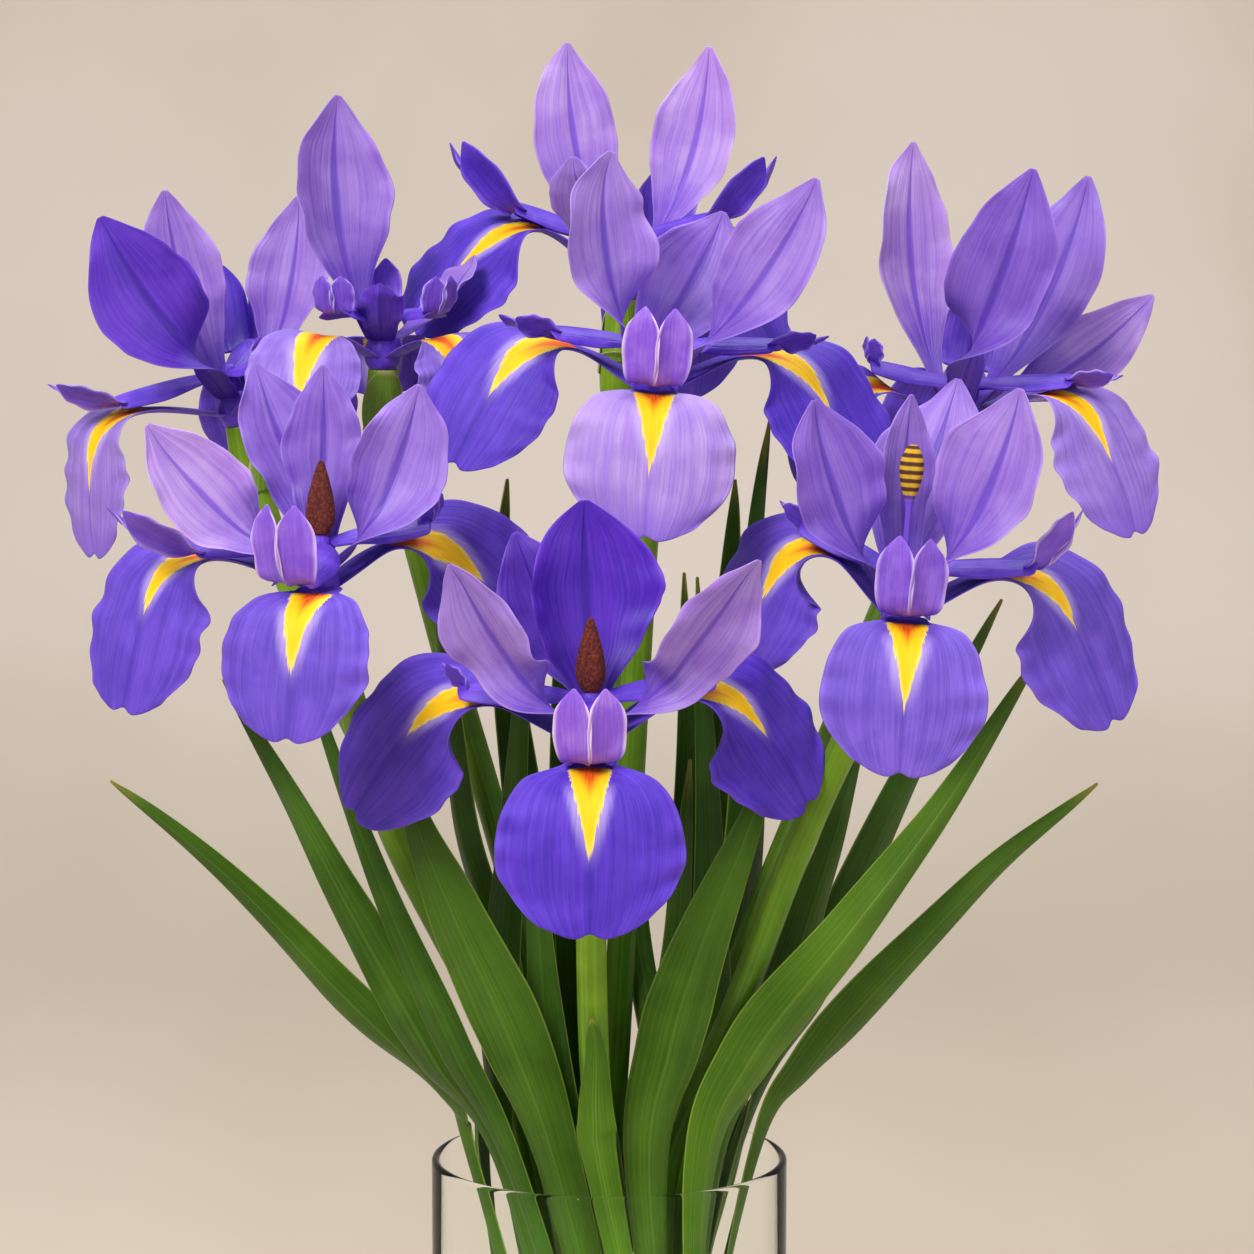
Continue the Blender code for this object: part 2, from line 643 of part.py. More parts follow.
def build_vase():
    """A turned profile: flat underside with a rounded heel, straight wall, and a round rim."""
    outer, inner = VASE_RADIUS, VASE_RADIUS - VASE_WALL
    rim = VASE_WALL / 2
    heel = [
        (outer - VASE_HEEL + VASE_HEEL * math.sin(a), VASE_HEEL - VASE_HEEL * math.cos(a))
        for a in (math.radians(d) for d in (0, 30, 60, 90))
    ]
    lip = [
        (outer - rim + rim * math.cos(a), VASE_HEIGHT - rim + rim * math.sin(a))
        for a in (math.radians(d) for d in (0, 45, 90, 135, 180))
    ]
    cove = [
        (inner - VASE_HEEL + VASE_HEEL * math.cos(a), VASE_FLOOR + VASE_HEEL - VASE_HEEL * math.sin(a))
        for a in (math.radians(d) for d in (0, 45, 90))
    ]
    profile = [(0.0, 0.0), *heel, *lip, *cove, (0.0, VASE_FLOOR)]
    bm = bmesh.new()
    verts = [bm.verts.new((r * MM, 0.0, z * MM)) for r, z in profile]
    edges = [bm.edges.new(pair) for pair in zip(verts, verts[1:])]
    bmesh.ops.spin(
        bm, geom=verts + edges, cent=(0, 0, 0), axis=(0, 0, 1), angle=2 * math.pi, steps=VASE_SIDES,
        use_merge=True,
    )
    bmesh.ops.remove_doubles(bm, verts=bm.verts, dist=1e-6)
    bmesh.ops.recalc_face_normals(bm, faces=bm.faces)
    mesh = bpy.data.meshes.new("vase")
    bm.to_mesh(mesh)
    bm.free()
    mesh.shade_smooth()
    mesh.set_sharp_from_angle(angle=math.radians(40))
    object_from("vase", mesh, "glass")


def main():
    clear_scene()
    build_vase()
    for name, flower in FLOWERS.items():
        build_flower(name, flower)
        build_stem(f"{name}_stem", flower)
    for name, (rim, width, face, tips) in LEAVES.items():
        build_leaf(name, rim, width, face, tips)


main()
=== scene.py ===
"""Eight cut irises with strap leaves in a clear glass vase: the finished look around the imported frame.

Everything is in the frame's metres, +Z up, with the front of the bouquet facing -Y. Petals, leaves and
stems are laid out in millimetres along their midribs, and MM turns them to metres.
"""

import math
from collections import namedtuple

import bmesh
import bpy
from mathutils import Matrix, Vector, noise


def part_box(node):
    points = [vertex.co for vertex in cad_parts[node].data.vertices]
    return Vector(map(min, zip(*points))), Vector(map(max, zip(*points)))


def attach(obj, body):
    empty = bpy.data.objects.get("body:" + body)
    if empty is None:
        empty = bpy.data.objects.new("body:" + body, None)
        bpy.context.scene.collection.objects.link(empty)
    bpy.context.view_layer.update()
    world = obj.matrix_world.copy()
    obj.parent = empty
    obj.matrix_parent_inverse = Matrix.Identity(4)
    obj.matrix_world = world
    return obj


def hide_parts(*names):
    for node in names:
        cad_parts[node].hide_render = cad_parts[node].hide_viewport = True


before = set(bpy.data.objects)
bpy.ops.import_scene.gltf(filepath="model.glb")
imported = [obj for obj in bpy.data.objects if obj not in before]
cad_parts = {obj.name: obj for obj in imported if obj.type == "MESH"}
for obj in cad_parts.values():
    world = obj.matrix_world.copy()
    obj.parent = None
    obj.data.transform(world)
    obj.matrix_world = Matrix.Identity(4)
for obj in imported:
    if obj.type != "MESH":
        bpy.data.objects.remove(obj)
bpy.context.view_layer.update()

MM = 0.001
SCENE = bpy.context.scene

# ---------------------------------------------------------------------------------------------------------
# Sizes and places, as the frame has them
# ---------------------------------------------------------------------------------------------------------

VASE_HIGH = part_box("vase")[1] / MM
VASE_RADIUS = VASE_HIGH.x
VASE_HEIGHT = VASE_HIGH.z
VASE_WALL = 2.0
VASE_FLOOR = 10.0
VASE_HEEL = 3.0

# Inside the vase, stems and leaves lean from the rim to the far side of the floor, and all of them turn the
# same way round the axis by CROSSING degrees.
CROSSING = 105.0
FOOT_HEIGHT = VASE_FLOOR + 3.0
FOOT_INSET = 1.0
STEM_RING = 20.0
STEM_RADIUS = 3.6

# Under the petals the stem runs straight along the flower's axis, and swells into the ovary: its top below
# the hub, the straight neck's length, then how far down the ovary lies, its spread, and its swell.
STEM_TOP = -4.0
NECK_LENGTH = 12.0
OVARY_DEPTH, OVARY_SPREAD, OVARY_SWELL = 16.0, 11.0, 0.40
STEM_RIDGE = 0.06

# The two bracts of the spathe, each as the shares of the stem's length where it starts and ends.
BRACTS = ((0.80, 1.0), (0.83, 0.8607))

# A leaf narrows towards its foot and its tip. Above the rim its blade turns to its own azimuth over
# LEAF_TURN_HEIGHT, in vase heights.
LEAF_FOOT_SHARE = 0.36
LEAF_TIP_SHARE = 0.45
LEAF_LEAST_HALF_WIDTH = 0.35
LEAF_FOLD = 0.40
LEAF_RIPPLE = 0.35
LEAF_TURN_HEIGHT = 0.25

# The three whorls of a flower. Half widths run through keys of (share of length, half width). A cup curls a
# petal's edges up and an arch curls them down, both in 1/mm. A start is where a midrib sets off, as (radius,
# height), and a hub is (radius, bottom, top). A groove is (depth, half width) of the line along a midrib.
WHORL_STEP = 120.0
FALL_START = (3.0, -1.0)
STANDARD_START = (3.0, 3.5)
STYLE_START = (1.8, 9.6)
THROAT_HUB = (5.0, -5.0, 5.0)
COLUMN_HUB = (2.8, 3.0, 12.0)

FALL_LENGTH = 76.0
FALL_HALF_WIDTH = (
    (0.0, 2.6), (0.12, 3.8), (0.24, 5.0), (0.31, 5.8), (0.38, 9.6), (0.44, 14.8), (0.54, 19.0),
    (0.70, 20.8), (0.82, 20.2), (0.92, 17.0), (1.0, 12.5),
)
FALL_ROUNDING = 0.07
FALL_HAFT_CUP, FALL_BLADE_CUP = 0.06, -0.012
FALL_GROOVE = (0.45, 1.6)
THROAT = 0.34
BASE_FLESH = 1.4
STANDARD_LENGTH = 62.0
STANDARD_HALF_WIDTH = (
    (0.0, 2.0), (0.15, 3.0), (0.35, 8.2), (0.54, 12.3), (0.68, 12.2),
    (0.82, 9.0), (0.93, 4.2), (1.0, 0.7),
)
STANDARD_CUP = 0.048
STANDARD_GROOVE = (0.55, 1.3)
STYLE_ARM_LENGTH = 32.0
STYLE_CREST_LENGTH = 19.0
STYLE_ARM_HALF_WIDTH = ((0.0, 3.2), (0.25, 5.6), (0.55, 7.4), (0.80, 7.2), (1.0, 6.4))
STYLE_ARCH = -0.155
STYLE_KEEL = (0.35, 1.2)
STYLE_FULL_SIZE = 0.8
CREST_HALF_WIDTH = ((0.0, 3.2), (0.2, 4.6), (0.5, 5.2), (0.78, 4.6), (0.92, 3.2), (1.0, 1.4))
CREST_ARCH = -0.10
CREST_SPREAD = 3.3
CREST_SINK = 1.5

# How far a petal strays from its plain shape, in mm: waves along its edges, short ripples on them, and dents.
FALL_WAVE, FALL_RIPPLE, FALL_DENT = 2.4, 0.55, 0.7
STANDARD_WAVE, STANDARD_RIPPLE, STANDARD_DENT = 3.6, 0.5, 1.3

# Half width of an anther on its filament, through keys of (share of height, half width), and its height.
ANTHER_BROAD = (((0.0, 2.0), (0.20, 3.5), (0.45, 3.3), (0.78, 1.9), (1.0, 0.6)), 18.0)
ANTHER_TALL = (((0.0, 0.9), (0.50, 0.9), (0.66, 2.4), (0.85, 2.9), (1.0, 1.2)), 29.0)
ANTHER_FOOT = 11.5

# Azimuths run from 0 at the right (+X) through 90 at the back (+Y), and the viewer stands at -90.
# A petal sets off from its place in the whorl and bends sideways by its sweep. It turns its upper side,
# which is the inner side of a standard, to the azimuth face. A fourth standard has a start of its own.
# A fall sets off at its lift above level and hangs at its droop. Its style arm lies over it, with a crest
# that stands up at its own rise.
Fall = namedtuple(
    "Fall", "sweep face size width lift droop crest rise", defaults=(0, None, 1.0, 1.0, 26, -86, 1.0, 78)
)
Standard = namedtuple(
    "Standard", "sweep face lean length width curl start", defaults=(0, None, 24, 1.0, 1.0, 0, None)
)

FLOWERS = {
    "iris_front": {
        "hub": (-4, -75, 318), "tilt": (-90, 6), "heading": -90, "rim": 270,
        "path": ((-4, -66, 292), (-4, -54, 258), (-3, -38, 225)),
        "falls": (
            Fall(size=0.88, width=1.07, lift=2),
            Fall(sweep=-14, face=-35, size=0.94, width=0.95, droop=-60, crest=0.45, rise=44),
            Fall(sweep=14, face=-140, width=0.95, lift=20, droop=-57, crest=0.4, rise=44),
        ),
        "standards": (
            Standard(sweep=0, face=-70, lean=38, length=1.0, width=0.85, curl=8),
            Standard(sweep=20, lean=10, length=0.86, width=1.5),
            Standard(sweep=-6, face=-115, lean=34, length=0.88, width=0.9, curl=4),
            Standard(start=90, sweep=76, face=-80, lean=32, length=0.84),
        ),
        "anther": ANTHER_BROAD,
    },
    "iris_left": {
        "hub": (-69, -50, 352), "tilt": (0, 1), "heading": -85, "rim": 225,
        "path": ((-63, -36, 322), (-52, -25, 285), (-30, -20, 240)),
        "falls": (
            Fall(sweep=-28, size=0.82, width=0.92, lift=4),
            Fall(sweep=-18, face=-60, size=0.84, width=0.8, lift=30, droop=-46, crest=0.4, rise=64),
            Fall(sweep=40, face=-135, size=0.98, lift=16, droop=-80, crest=1.1, rise=28),
        ),
        "standards": (
            Standard(sweep=60, face=-75, lean=24, length=0.82),
            Standard(sweep=46, face=-60, lean=34, length=0.96),
            Standard(sweep=-26, face=-60, lean=46, length=0.88, width=0.95),
            Standard(start=95, sweep=-20, face=-100, lean=6, length=0.80, width=0.8),
        ),
        "anther": ANTHER_BROAD,
    },
    "iris_right": {
        "hub": (70, -50, 345), "tilt": (0, 4), "heading": -90, "rim": 315,
        "path": ((61, -46, 320), (46, -37, 285), (30, -27, 240)),
        "falls": (
            Fall(size=0.84, width=0.95, lift=4),
            Fall(sweep=-24, face=-45, size=1.02, droop=-66, crest=0.9, rise=55),
            Fall(sweep=8, face=-140, size=0.84, width=0.9, lift=42, droop=-74, crest=0.45, rise=34),
        ),
        "standards": (
            Standard(sweep=26, face=-120, lean=20, length=0.94, width=1.2),
            Standard(sweep=-34, face=-110, lean=32, length=1.02, width=1.15),
            Standard(sweep=-20, face=-60, lean=24, length=0.86, width=1.1),
            Standard(start=90, sweep=20, face=-70, lean=6, length=0.80, width=0.6),
        ),
        "anther": ANTHER_TALL,
    },
    "iris_centre": {
        "hub": (11, -12, 396), "tilt": (0, 4), "heading": -90, "rim": 90,
        "path": ((9, -8, 365), (6, 0, 310), (3, 12, 250)),
        "falls": (
            Fall(size=0.84, lift=4),
            Fall(sweep=-44, face=-50, size=0.98, width=0.9, droop=-60, crest=0.6, rise=14),
            Fall(sweep=54, face=-112, size=0.9, width=0.8, droop=-66, crest=0.6, rise=14),
        ),
        "standards": (
            Standard(sweep=16, face=-115, lean=32, length=1.02),
            Standard(sweep=-66, face=-95, lean=30, length=0.78, width=1.1),
            Standard(sweep=-8, face=-60, lean=13, length=0.92, width=1.1, curl=-10),
        ),
    },
    "iris_upper_left": {
        "hub": (-57, 20, 402), "tilt": (180, 0), "heading": -150, "rim": 135,
        "path": ((-53, 22, 370), (-40, 22, 320), (-22, 18, 255)),
        "falls": (
            Fall(sweep=40, face=-95, size=0.6, width=0.7, droop=-64, crest=0.5),
            Fall(sweep=-10, face=-60, size=0.5, width=0.6, droop=-70, crest=0.5),
            Fall(sweep=14, size=0.38, width=0.7, crest=0.7),
        ),
        "standards": (
            Standard(lean=40, length=0.34, width=0.5), Standard(sweep=-10, lean=44, length=0.5, width=0.8),
            Standard(sweep=20, face=-60, lean=6, length=1.02, width=1.2),
        ),
    },
    "iris_far_left": {
        "hub": (-95, 30, 387), "tilt": (190, 12), "heading": -50, "rim": 180,
        "path": ((-88, 30, 358), (-68, 24, 313), (-36, 10, 250)),
        "falls": (
            Fall(sweep=10, size=0.42, width=0.5, crest=0.4),
            Fall(sweep=16, size=0.8, lift=30, crest=1.3, rise=60),
            Fall(face=-145, size=0.88, width=0.8, lift=18, droop=-82, crest=0.9, rise=26),
        ),
        "standards": (
            Standard(sweep=20, face=-110, lean=26, length=0.86, width=0.9),
            Standard(sweep=16, face=-70, lean=4, length=0.9, width=0.9),
            Standard(sweep=-50, face=-80, lean=25, length=0.98, width=1.15),
        ),
    },
    "iris_back": {
        "hub": (3, 45, 418), "tilt": (90, 4), "heading": 70, "rim": 45,
        "path": ((2, 42, 385), (2, 36, 330), (6, 24, 260)),
        "falls": (
            Fall(), Fall(sweep=-6, face=-140, size=0.9, width=0.95, lift=44, droop=-52, crest=1.2, rise=50),
            Fall(sweep=38, face=-40, size=0.88, width=0.8, lift=38, droop=-70, crest=1.1, rise=50),
        ),
        "standards": (
            Standard(sweep=45, face=-75, lean=11, length=1.0, width=0.95),
            Standard(lean=46, length=0.7, width=0.9),
            Standard(sweep=-10, face=-105, lean=16, length=1.0, width=0.9),
        ),
    },
    "iris_upper_right": {
        "hub": (88, 25, 384), "tilt": (0, 10), "heading": 85, "rim": 0,
        "path": ((78, 24, 356), (60, 18, 313), (34, 6, 250)),
        "falls": (
            Fall(), Fall(sweep=-30, face=-132, size=0.74, width=0.66, lift=24, crest=0.35, rise=74),
            Fall(sweep=19, face=-45, size=0.92, width=0.9, lift=36, droop=-62, crest=0.6, rise=16),
        ),
        "standards": (
            Standard(sweep=35, face=-60, lean=16, length=1.12, width=0.95),
            Standard(sweep=36, face=-100, lean=18, length=1.12, width=1.1),
            Standard(sweep=-15, face=-110, lean=15, length=1.1),
            Standard(start=16, sweep=-8, face=-100, lean=46, length=0.92, width=0.75),
        ),
    },
}

# One leaf: its place on the rim as (azimuth, radius), its widest width, the azimuth its blade faces above
# the rim, and the points it passes from the rim up, the last of them its tip.
LEAVES = {
    "leaf_far_left": (
        (193, 36), 13.0, -112,
        ((-42, -14, 219), (-68, -22, 248), (-94, -27, 277), (-122, -30, 301)),
    ),
    "leaf_left_tall": (
        (217, 33), 14.0, -105,
        ((-43, -26, 230), (-61, -27, 263), (-76, -24, 291), (-96, -8, 323)),
    ),
    "leaf_left_slim": (
        (234, 38), 9.0, -100,
        ((-38, -33, 234), (-52, -33, 266), (-65, -25, 298), (-79, -6, 336)),
    ),
    "leaf_left_broad": (
        (250, 34), 18.0, -100,
        ((-23, -40, 236), (-37, -45, 269), (-45, -45, 289), (-51, -42, 307)),
    ),
    "leaf_centre": (
        (269, 38), 10.0, -90,
        ((-3, -44, 219), (-3, -50, 236), (-4, -56, 247)),
    ),
    "leaf_right_broad": (
        (287, 34), 17.0, -85,
        ((15, -40, 236), (23, -45, 264), (32, -46, 287), (40, -43, 308)),
    ),
    "leaf_right_tall": (
        (308, 38), 16.0, -75,
        ((35, -36, 233), (59, -38, 265), (81, -34, 294), (106, -18, 330)),
    ),
    "leaf_right_slim": (
        (325, 33), 12.0, -70,
        ((40, -18, 235), (50, -18, 266), (58, -15, 292), (69, 5, 331)),
    ),
    "leaf_far_right": (
        (344, 38), 13.0, -68,
        ((50, -16, 226), (73, -20, 254), (96, -24, 279), (120, -28, 300)),
    ),
    "leaf_right_back": (
        (5, 33), 13.0, -60,
        ((51, 0, 240), (68, 2, 281), (83, 4, 311), (99, 8, 341)),
    ),
    "leaf_back_right": (
        (28, 38), 14.0, -60,
        ((32, 18, 236), (36, 14, 289), (36, 8, 341), (40, 2, 387)),
    ),
    "leaf_back": (
        (54, 33), 14.0, 70,
        ((21, 40, 232), (27, 36, 285), (31, 30, 338), (32, 22, 370)),
    ),
    "leaf_back_left": (
        (128, 36), 14.0, 110,
        ((-17, 40, 232), (-23, 36, 285), (-28, 28, 333), (-26, 24, 370)),
    ),
    "leaf_left_back": (
        (160, 36), 13.0, 220,
        ((-27, 14, 237), (-38, 8, 285), (-42, 2, 331), (-43, 0, 357)),
    ),
    "leaf_inner_left": (
        (250, 28.5), 12.0, -95,
        ((-14, -30, 225), (-17, -32, 262), (-19, -30, 302)),
    ),
    "leaf_inner_right": (
        (290, 28.5), 12.0, -85,
        ((14, -30, 225), (17, -31, 262), (20, -28, 306)),
    ),
    "leaf_mid_left": (
        (201, 28.5), 12.0, -100,
        ((-28, -6, 240), (-24, -3, 290), (-20, -2, 345)),
    ),
    "leaf_mid_right": (
        (335, 28.5), 12.0, -80,
        ((26, -8, 240), (25, -4, 290), (22, -2, 348)),
    ),
    "leaf_inner_back_left": (
        (100, 28.5), 13.0, 95,
        ((-8, 24, 240), (-12, 18, 290), (-12, 12, 352)),
    ),
    "leaf_inner_back_right": (
        (72, 28.5), 12.0, 80,
        ((18, 27, 240), (20, 22, 290), (19, 16, 347)),
    ),
}

# How pale each petal is, from 0, deep violet, to 1, lilac, in the order of the petals above.
TONES = {
    "iris_front": {
        "falls": (0.0, 0.0, 0.06), "standards": (0.75, 0.0, 0.62, 0.12), "crests": (1.0, 0.1, 0.1),
    },
    "iris_left": {
        "falls": (0.16, 0.06, 0.10), "standards": (0.52, 0.42, 0.95, 0.45), "crests": (0.7, 0.1, 0.3),
    },
    "iris_right": {
        "falls": (0.26, 0.16, 0.12), "standards": (0.64, 0.52, 0.40, 0.5), "crests": (0.6, 0.6, 0.1),
    },
    "iris_centre": {
        "falls": (1.0, 0.0, 0.04), "standards": (0.60, 0.45, 0.66), "crests": (0.9, 0.1, 0.1),
    },
    "iris_upper_left": {
        "falls": (0.55, 0.40, 0.1), "standards": (0.1, 0.6, 0.62), "crests": (0.4, 0.4, 0.3),
    },
    "iris_far_left": {
        "falls": (0.3, 0.1, 0.70), "standards": (0.66, 0.72, 0.04), "crests": (0.3, 0.0, 0.3),
    },
    "iris_back": {
        "falls": (0.1, 0.0, 0.06), "standards": (0.90, 0.7, 1.0), "crests": (0.1, 0.0, 0.0),
    },
    "iris_upper_right": {
        "falls": (0.1, 0.08, 0.62), "standards": (0.98, 0.36, 0.5, 0.75), "crests": (0.2, 0.1, 0.3),
    },
}

# How golden each anther is, from 0, red-brown, to 1.
ANTHER_TONES = {"iris_front": 0.0, "iris_left": 0.0, "iris_right": 0.8}

# How pale each leaf is, from 0, deep green, to 1, fresh green.
LEAF_TONES = {
    "leaf_far_left": 0.45, "leaf_left_tall": 0.35, "leaf_left_slim": 0.25, "leaf_left_broad": 0.42,
    "leaf_centre": 0.95, "leaf_right_broad": 0.55, "leaf_right_tall": 0.88, "leaf_right_slim": 0.30,
    "leaf_far_right": 0.50, "leaf_right_back": 0.15, "leaf_back_right": 0.05, "leaf_back": 0.0,
    "leaf_back_left": 0.0, "leaf_left_back": 0.1, "leaf_inner_left": 0.2, "leaf_inner_right": 0.25,
    "leaf_mid_left": 0.1, "leaf_mid_right": 0.1, "leaf_inner_back_left": 0.0, "leaf_inner_back_right": 0.0,
}

# ---------------------------------------------------------------------------------------------------------
# Small tools
# ---------------------------------------------------------------------------------------------------------


def through_keys(keys, share):
    """A smooth curve through (share, value) keys."""
    last = len(keys) - 1
    i = max(k for k in range(last) if keys[k][0] <= share or k == 0)
    (s0, v0), (s1, v1) = keys[i], keys[i + 1]

    def slope(k):
        a, b = keys[max(k - 1, 0)], keys[min(k + 1, last)]
        return (b[1] - a[1]) / (b[0] - a[0])

    span = s1 - s0
    x = min(max((share - s0) / span, 0.0), 1.0)
    return (
        (2 * x**3 - 3 * x**2 + 1) * v0 + (x**3 - 2 * x**2 + x) * span * slope(i)
        + (3 * x**2 - 2 * x**3) * v1 + (x**3 - x**2) * span * slope(i + 1)
    )


def eased(x):
    x = min(max(x, 0.0), 1.0)
    return x * x * (3 - 2 * x)


def hump(distance, half_width):
    """A smooth bump, 1 at its middle."""
    return math.exp(-((distance / half_width) ** 2))


def level(degrees):
    """The unit vector at an azimuth."""
    turn = math.radians(degrees)
    return Vector((math.cos(turn), math.sin(turn), 0.0))


def shortest_turn(degrees):
    return (degrees + 180.0) % 360.0 - 180.0


def on_curve(points, share):
    """A point on the smooth Catmull-Rom curve through the given points."""
    spans = len(points) - 1
    x = min(max(share, 0.0), 1.0) * spans
    i = min(int(x), spans - 1)
    x -= i
    p = [Vector(points[min(max(k, 0), spans)]) for k in (i - 1, i, i + 1, i + 2)]
    return 0.5 * (
        2 * p[1] + (p[2] - p[0]) * x + (2 * p[0] - 5 * p[1] + 4 * p[2] - p[3]) * x**2
        + (3 * p[1] - p[0] - 3 * p[2] + p[3]) * x**3
    )


class Midrib:
    """A petal's midrib in the flower's own frame, with the directions along and across the petal.

    The roll turns the petal round its midrib, and comes on between the two shares in rolled.
    """

    STEPS = 60

    def __init__(self, start, azimuth, sweep, climb, length, roll=0.0, rolled=(0.1, 0.5)):
        radius, height = start
        place = level(azimuth) * radius + Vector((0.0, 0.0, height))
        self.stations = []
        for i in range(self.STEPS + 1):
            share = i / self.STEPS
            heading = azimuth + sweep * eased((share - 0.05) / 0.5)
            rise = math.radians(climb(share))
            along = level(heading) * math.cos(rise) + Vector((0.0, 0.0, math.sin(rise)))
            turn = math.radians(roll) * eased((share - rolled[0]) / (rolled[1] - rolled[0]))
            across = Matrix.Rotation(turn, 3, along) @ level(heading + 90.0)
            self.stations.append((place.copy(), along, across))
            place += along * (length / self.STEPS)

    def at(self, share):
        x = min(max(share, 0.0), 1.0) * self.STEPS
        i = min(int(x), self.STEPS - 1)
        (p0, d0, a0), (p1, d1, a1) = self.stations[i], self.stations[i + 1]
        x -= i
        return p0.lerp(p1, x), d0.lerp(d1, x).normalized(), a0.lerp(a1, x).normalized()

    def point(self, share, side, half_width, bend, lift=0.0):
        """Side runs from -1 to 1 across the petal, bend curls its edges up in 1/mm, and lift is in mm."""
        place, along, across = self.at(share)
        x = side * half_width
        arc = x * bend
        sideways = math.sin(arc) / bend if abs(arc) > 1e-6 else x
        rise = (1 - math.cos(arc)) / bend if abs(arc) > 1e-6 else 0.0
        return place + across * sideways + along.cross(across) * (rise + lift)


def linear(colour):
    """An sRGB hex colour as the linear RGBA that a shader takes."""
    channels = [int(colour[i:i + 2], 16) / 255 for i in (1, 3, 5)]
    return (*(c / 12.92 if c <= 0.04045 else ((c + 0.055) / 1.055) ** 2.4 for c in channels), 1.0)


def add(tree, kind, inputs=None, **settings):
    """A node with its settings, and its inputs as values or as sockets to link."""
    made = tree.nodes.new(kind)
    for name, value in settings.items():
        setattr(made, name, value)
    for key, value in (inputs or {}).items():
        if isinstance(value, bpy.types.NodeSocket):
            tree.links.new(value, made.inputs[key])
        else:
            made.inputs[key].default_value = value
    return made


def new_material(name, **surface):
    """A material with a Principled surface whose fixed values are set on its own sockets."""
    made = bpy.data.materials.new(name)
    made.use_nodes = True
    shader = made.node_tree.nodes["Principled BSDF"]
    for key, value in surface.items():
        shader.inputs[key.replace("_", " ").title().replace("Ior", "IOR")].default_value = value
    return made, made.node_tree, shader


# ---------------------------------------------------------------------------------------------------------
# Materials
# ---------------------------------------------------------------------------------------------------------

# Every sheet of plant tissue carries "tissue", which is (side, share of length, tone), and a fall also
# carries "signal_place", which is (across, beyond the throat) in centimetres.


def tissue_streaks(tree, tissue, across, along):
    """Veins that run along a petal or leaf and spread with it: noise stretched along its length."""
    place = add(tree, "ShaderNodeVectorMath", {0: tissue, 1: (across, along, 9.0)}, operation="MULTIPLY")
    grain = add(tree, "ShaderNodeTexNoise", {"Vector": place.outputs[0], "Scale": 1.0, "Detail": 3.0,
                                             "Roughness": 0.55})
    return ranged(tree, grain.outputs[0], 0.40, 0.62)


def petal_bump(tree, shader, veins, cells_mm=0.5, depth_mm=0.12):
    """Raised veins and the pebbled skin of plant cells, drawn coarser than they are so that they show."""
    place = add(tree, "ShaderNodeTexCoord").outputs["Object"]
    cells = add(tree, "ShaderNodeTexNoise", {"Vector": place, "Scale": 1 / (cells_mm * MM), "Detail": 2.0})
    height = add(tree, "ShaderNodeMath", {0: cells.outputs[0], 1: 0.25, 2: veins}, operation="MULTIPLY_ADD")
    bump = add(tree, "ShaderNodeBump", {"Height": height.outputs[0], "Strength": 0.6,
                                        "Distance": depth_mm * MM})
    tree.links.new(bump.outputs[0], shader.inputs["Normal"])


def blend(tree, share, low, high):
    """Colour from low to high by share. Each is a hex colour or a socket."""
    inputs = {"Factor": share}
    for key, colour in ((6, low), (7, high)):
        inputs[key] = linear(colour) if isinstance(colour, str) else colour
    return add(tree, "ShaderNodeMix", inputs, data_type="RGBA").outputs[2]


def wash(tree, skin, where, strength, colour):
    """The skin with a colour laid over it where the mask says, at up to the given strength."""
    return blend(tree, maths(tree, "MULTIPLY", where, strength), skin, colour)


def ranged(tree, value, low, high, to_low=0.0, to_high=1.0):
    """A value taken smoothly from one range to another, and held at its ends."""
    return add(tree, "ShaderNodeMapRange", {"Value": value, "From Min": low, "From Max": high,
                                            "To Min": to_low, "To Max": to_high},
               interpolation_type="SMOOTHSTEP").outputs[0]


def maths(tree, operation, *values):
    return add(tree, "ShaderNodeMath", dict(enumerate(values)), operation=operation).outputs[0]


def split_attribute(tree, name):
    read = add(tree, "ShaderNodeAttribute", attribute_name=name)
    parts = add(tree, "ShaderNodeSeparateXYZ", {0: read.outputs["Vector"]})
    return read.outputs["Vector"], parts.outputs[0], parts.outputs[1], parts.outputs[2]


def mottling(tree, size_mm, low=0.35, high=0.65):
    place = add(tree, "ShaderNodeTexCoord").outputs["Object"]
    patches = add(tree, "ShaderNodeTexNoise", {"Vector": place, "Scale": 1 / (size_mm * MM), "Detail": 4.0})
    return ranged(tree, patches.outputs[0], low, high)


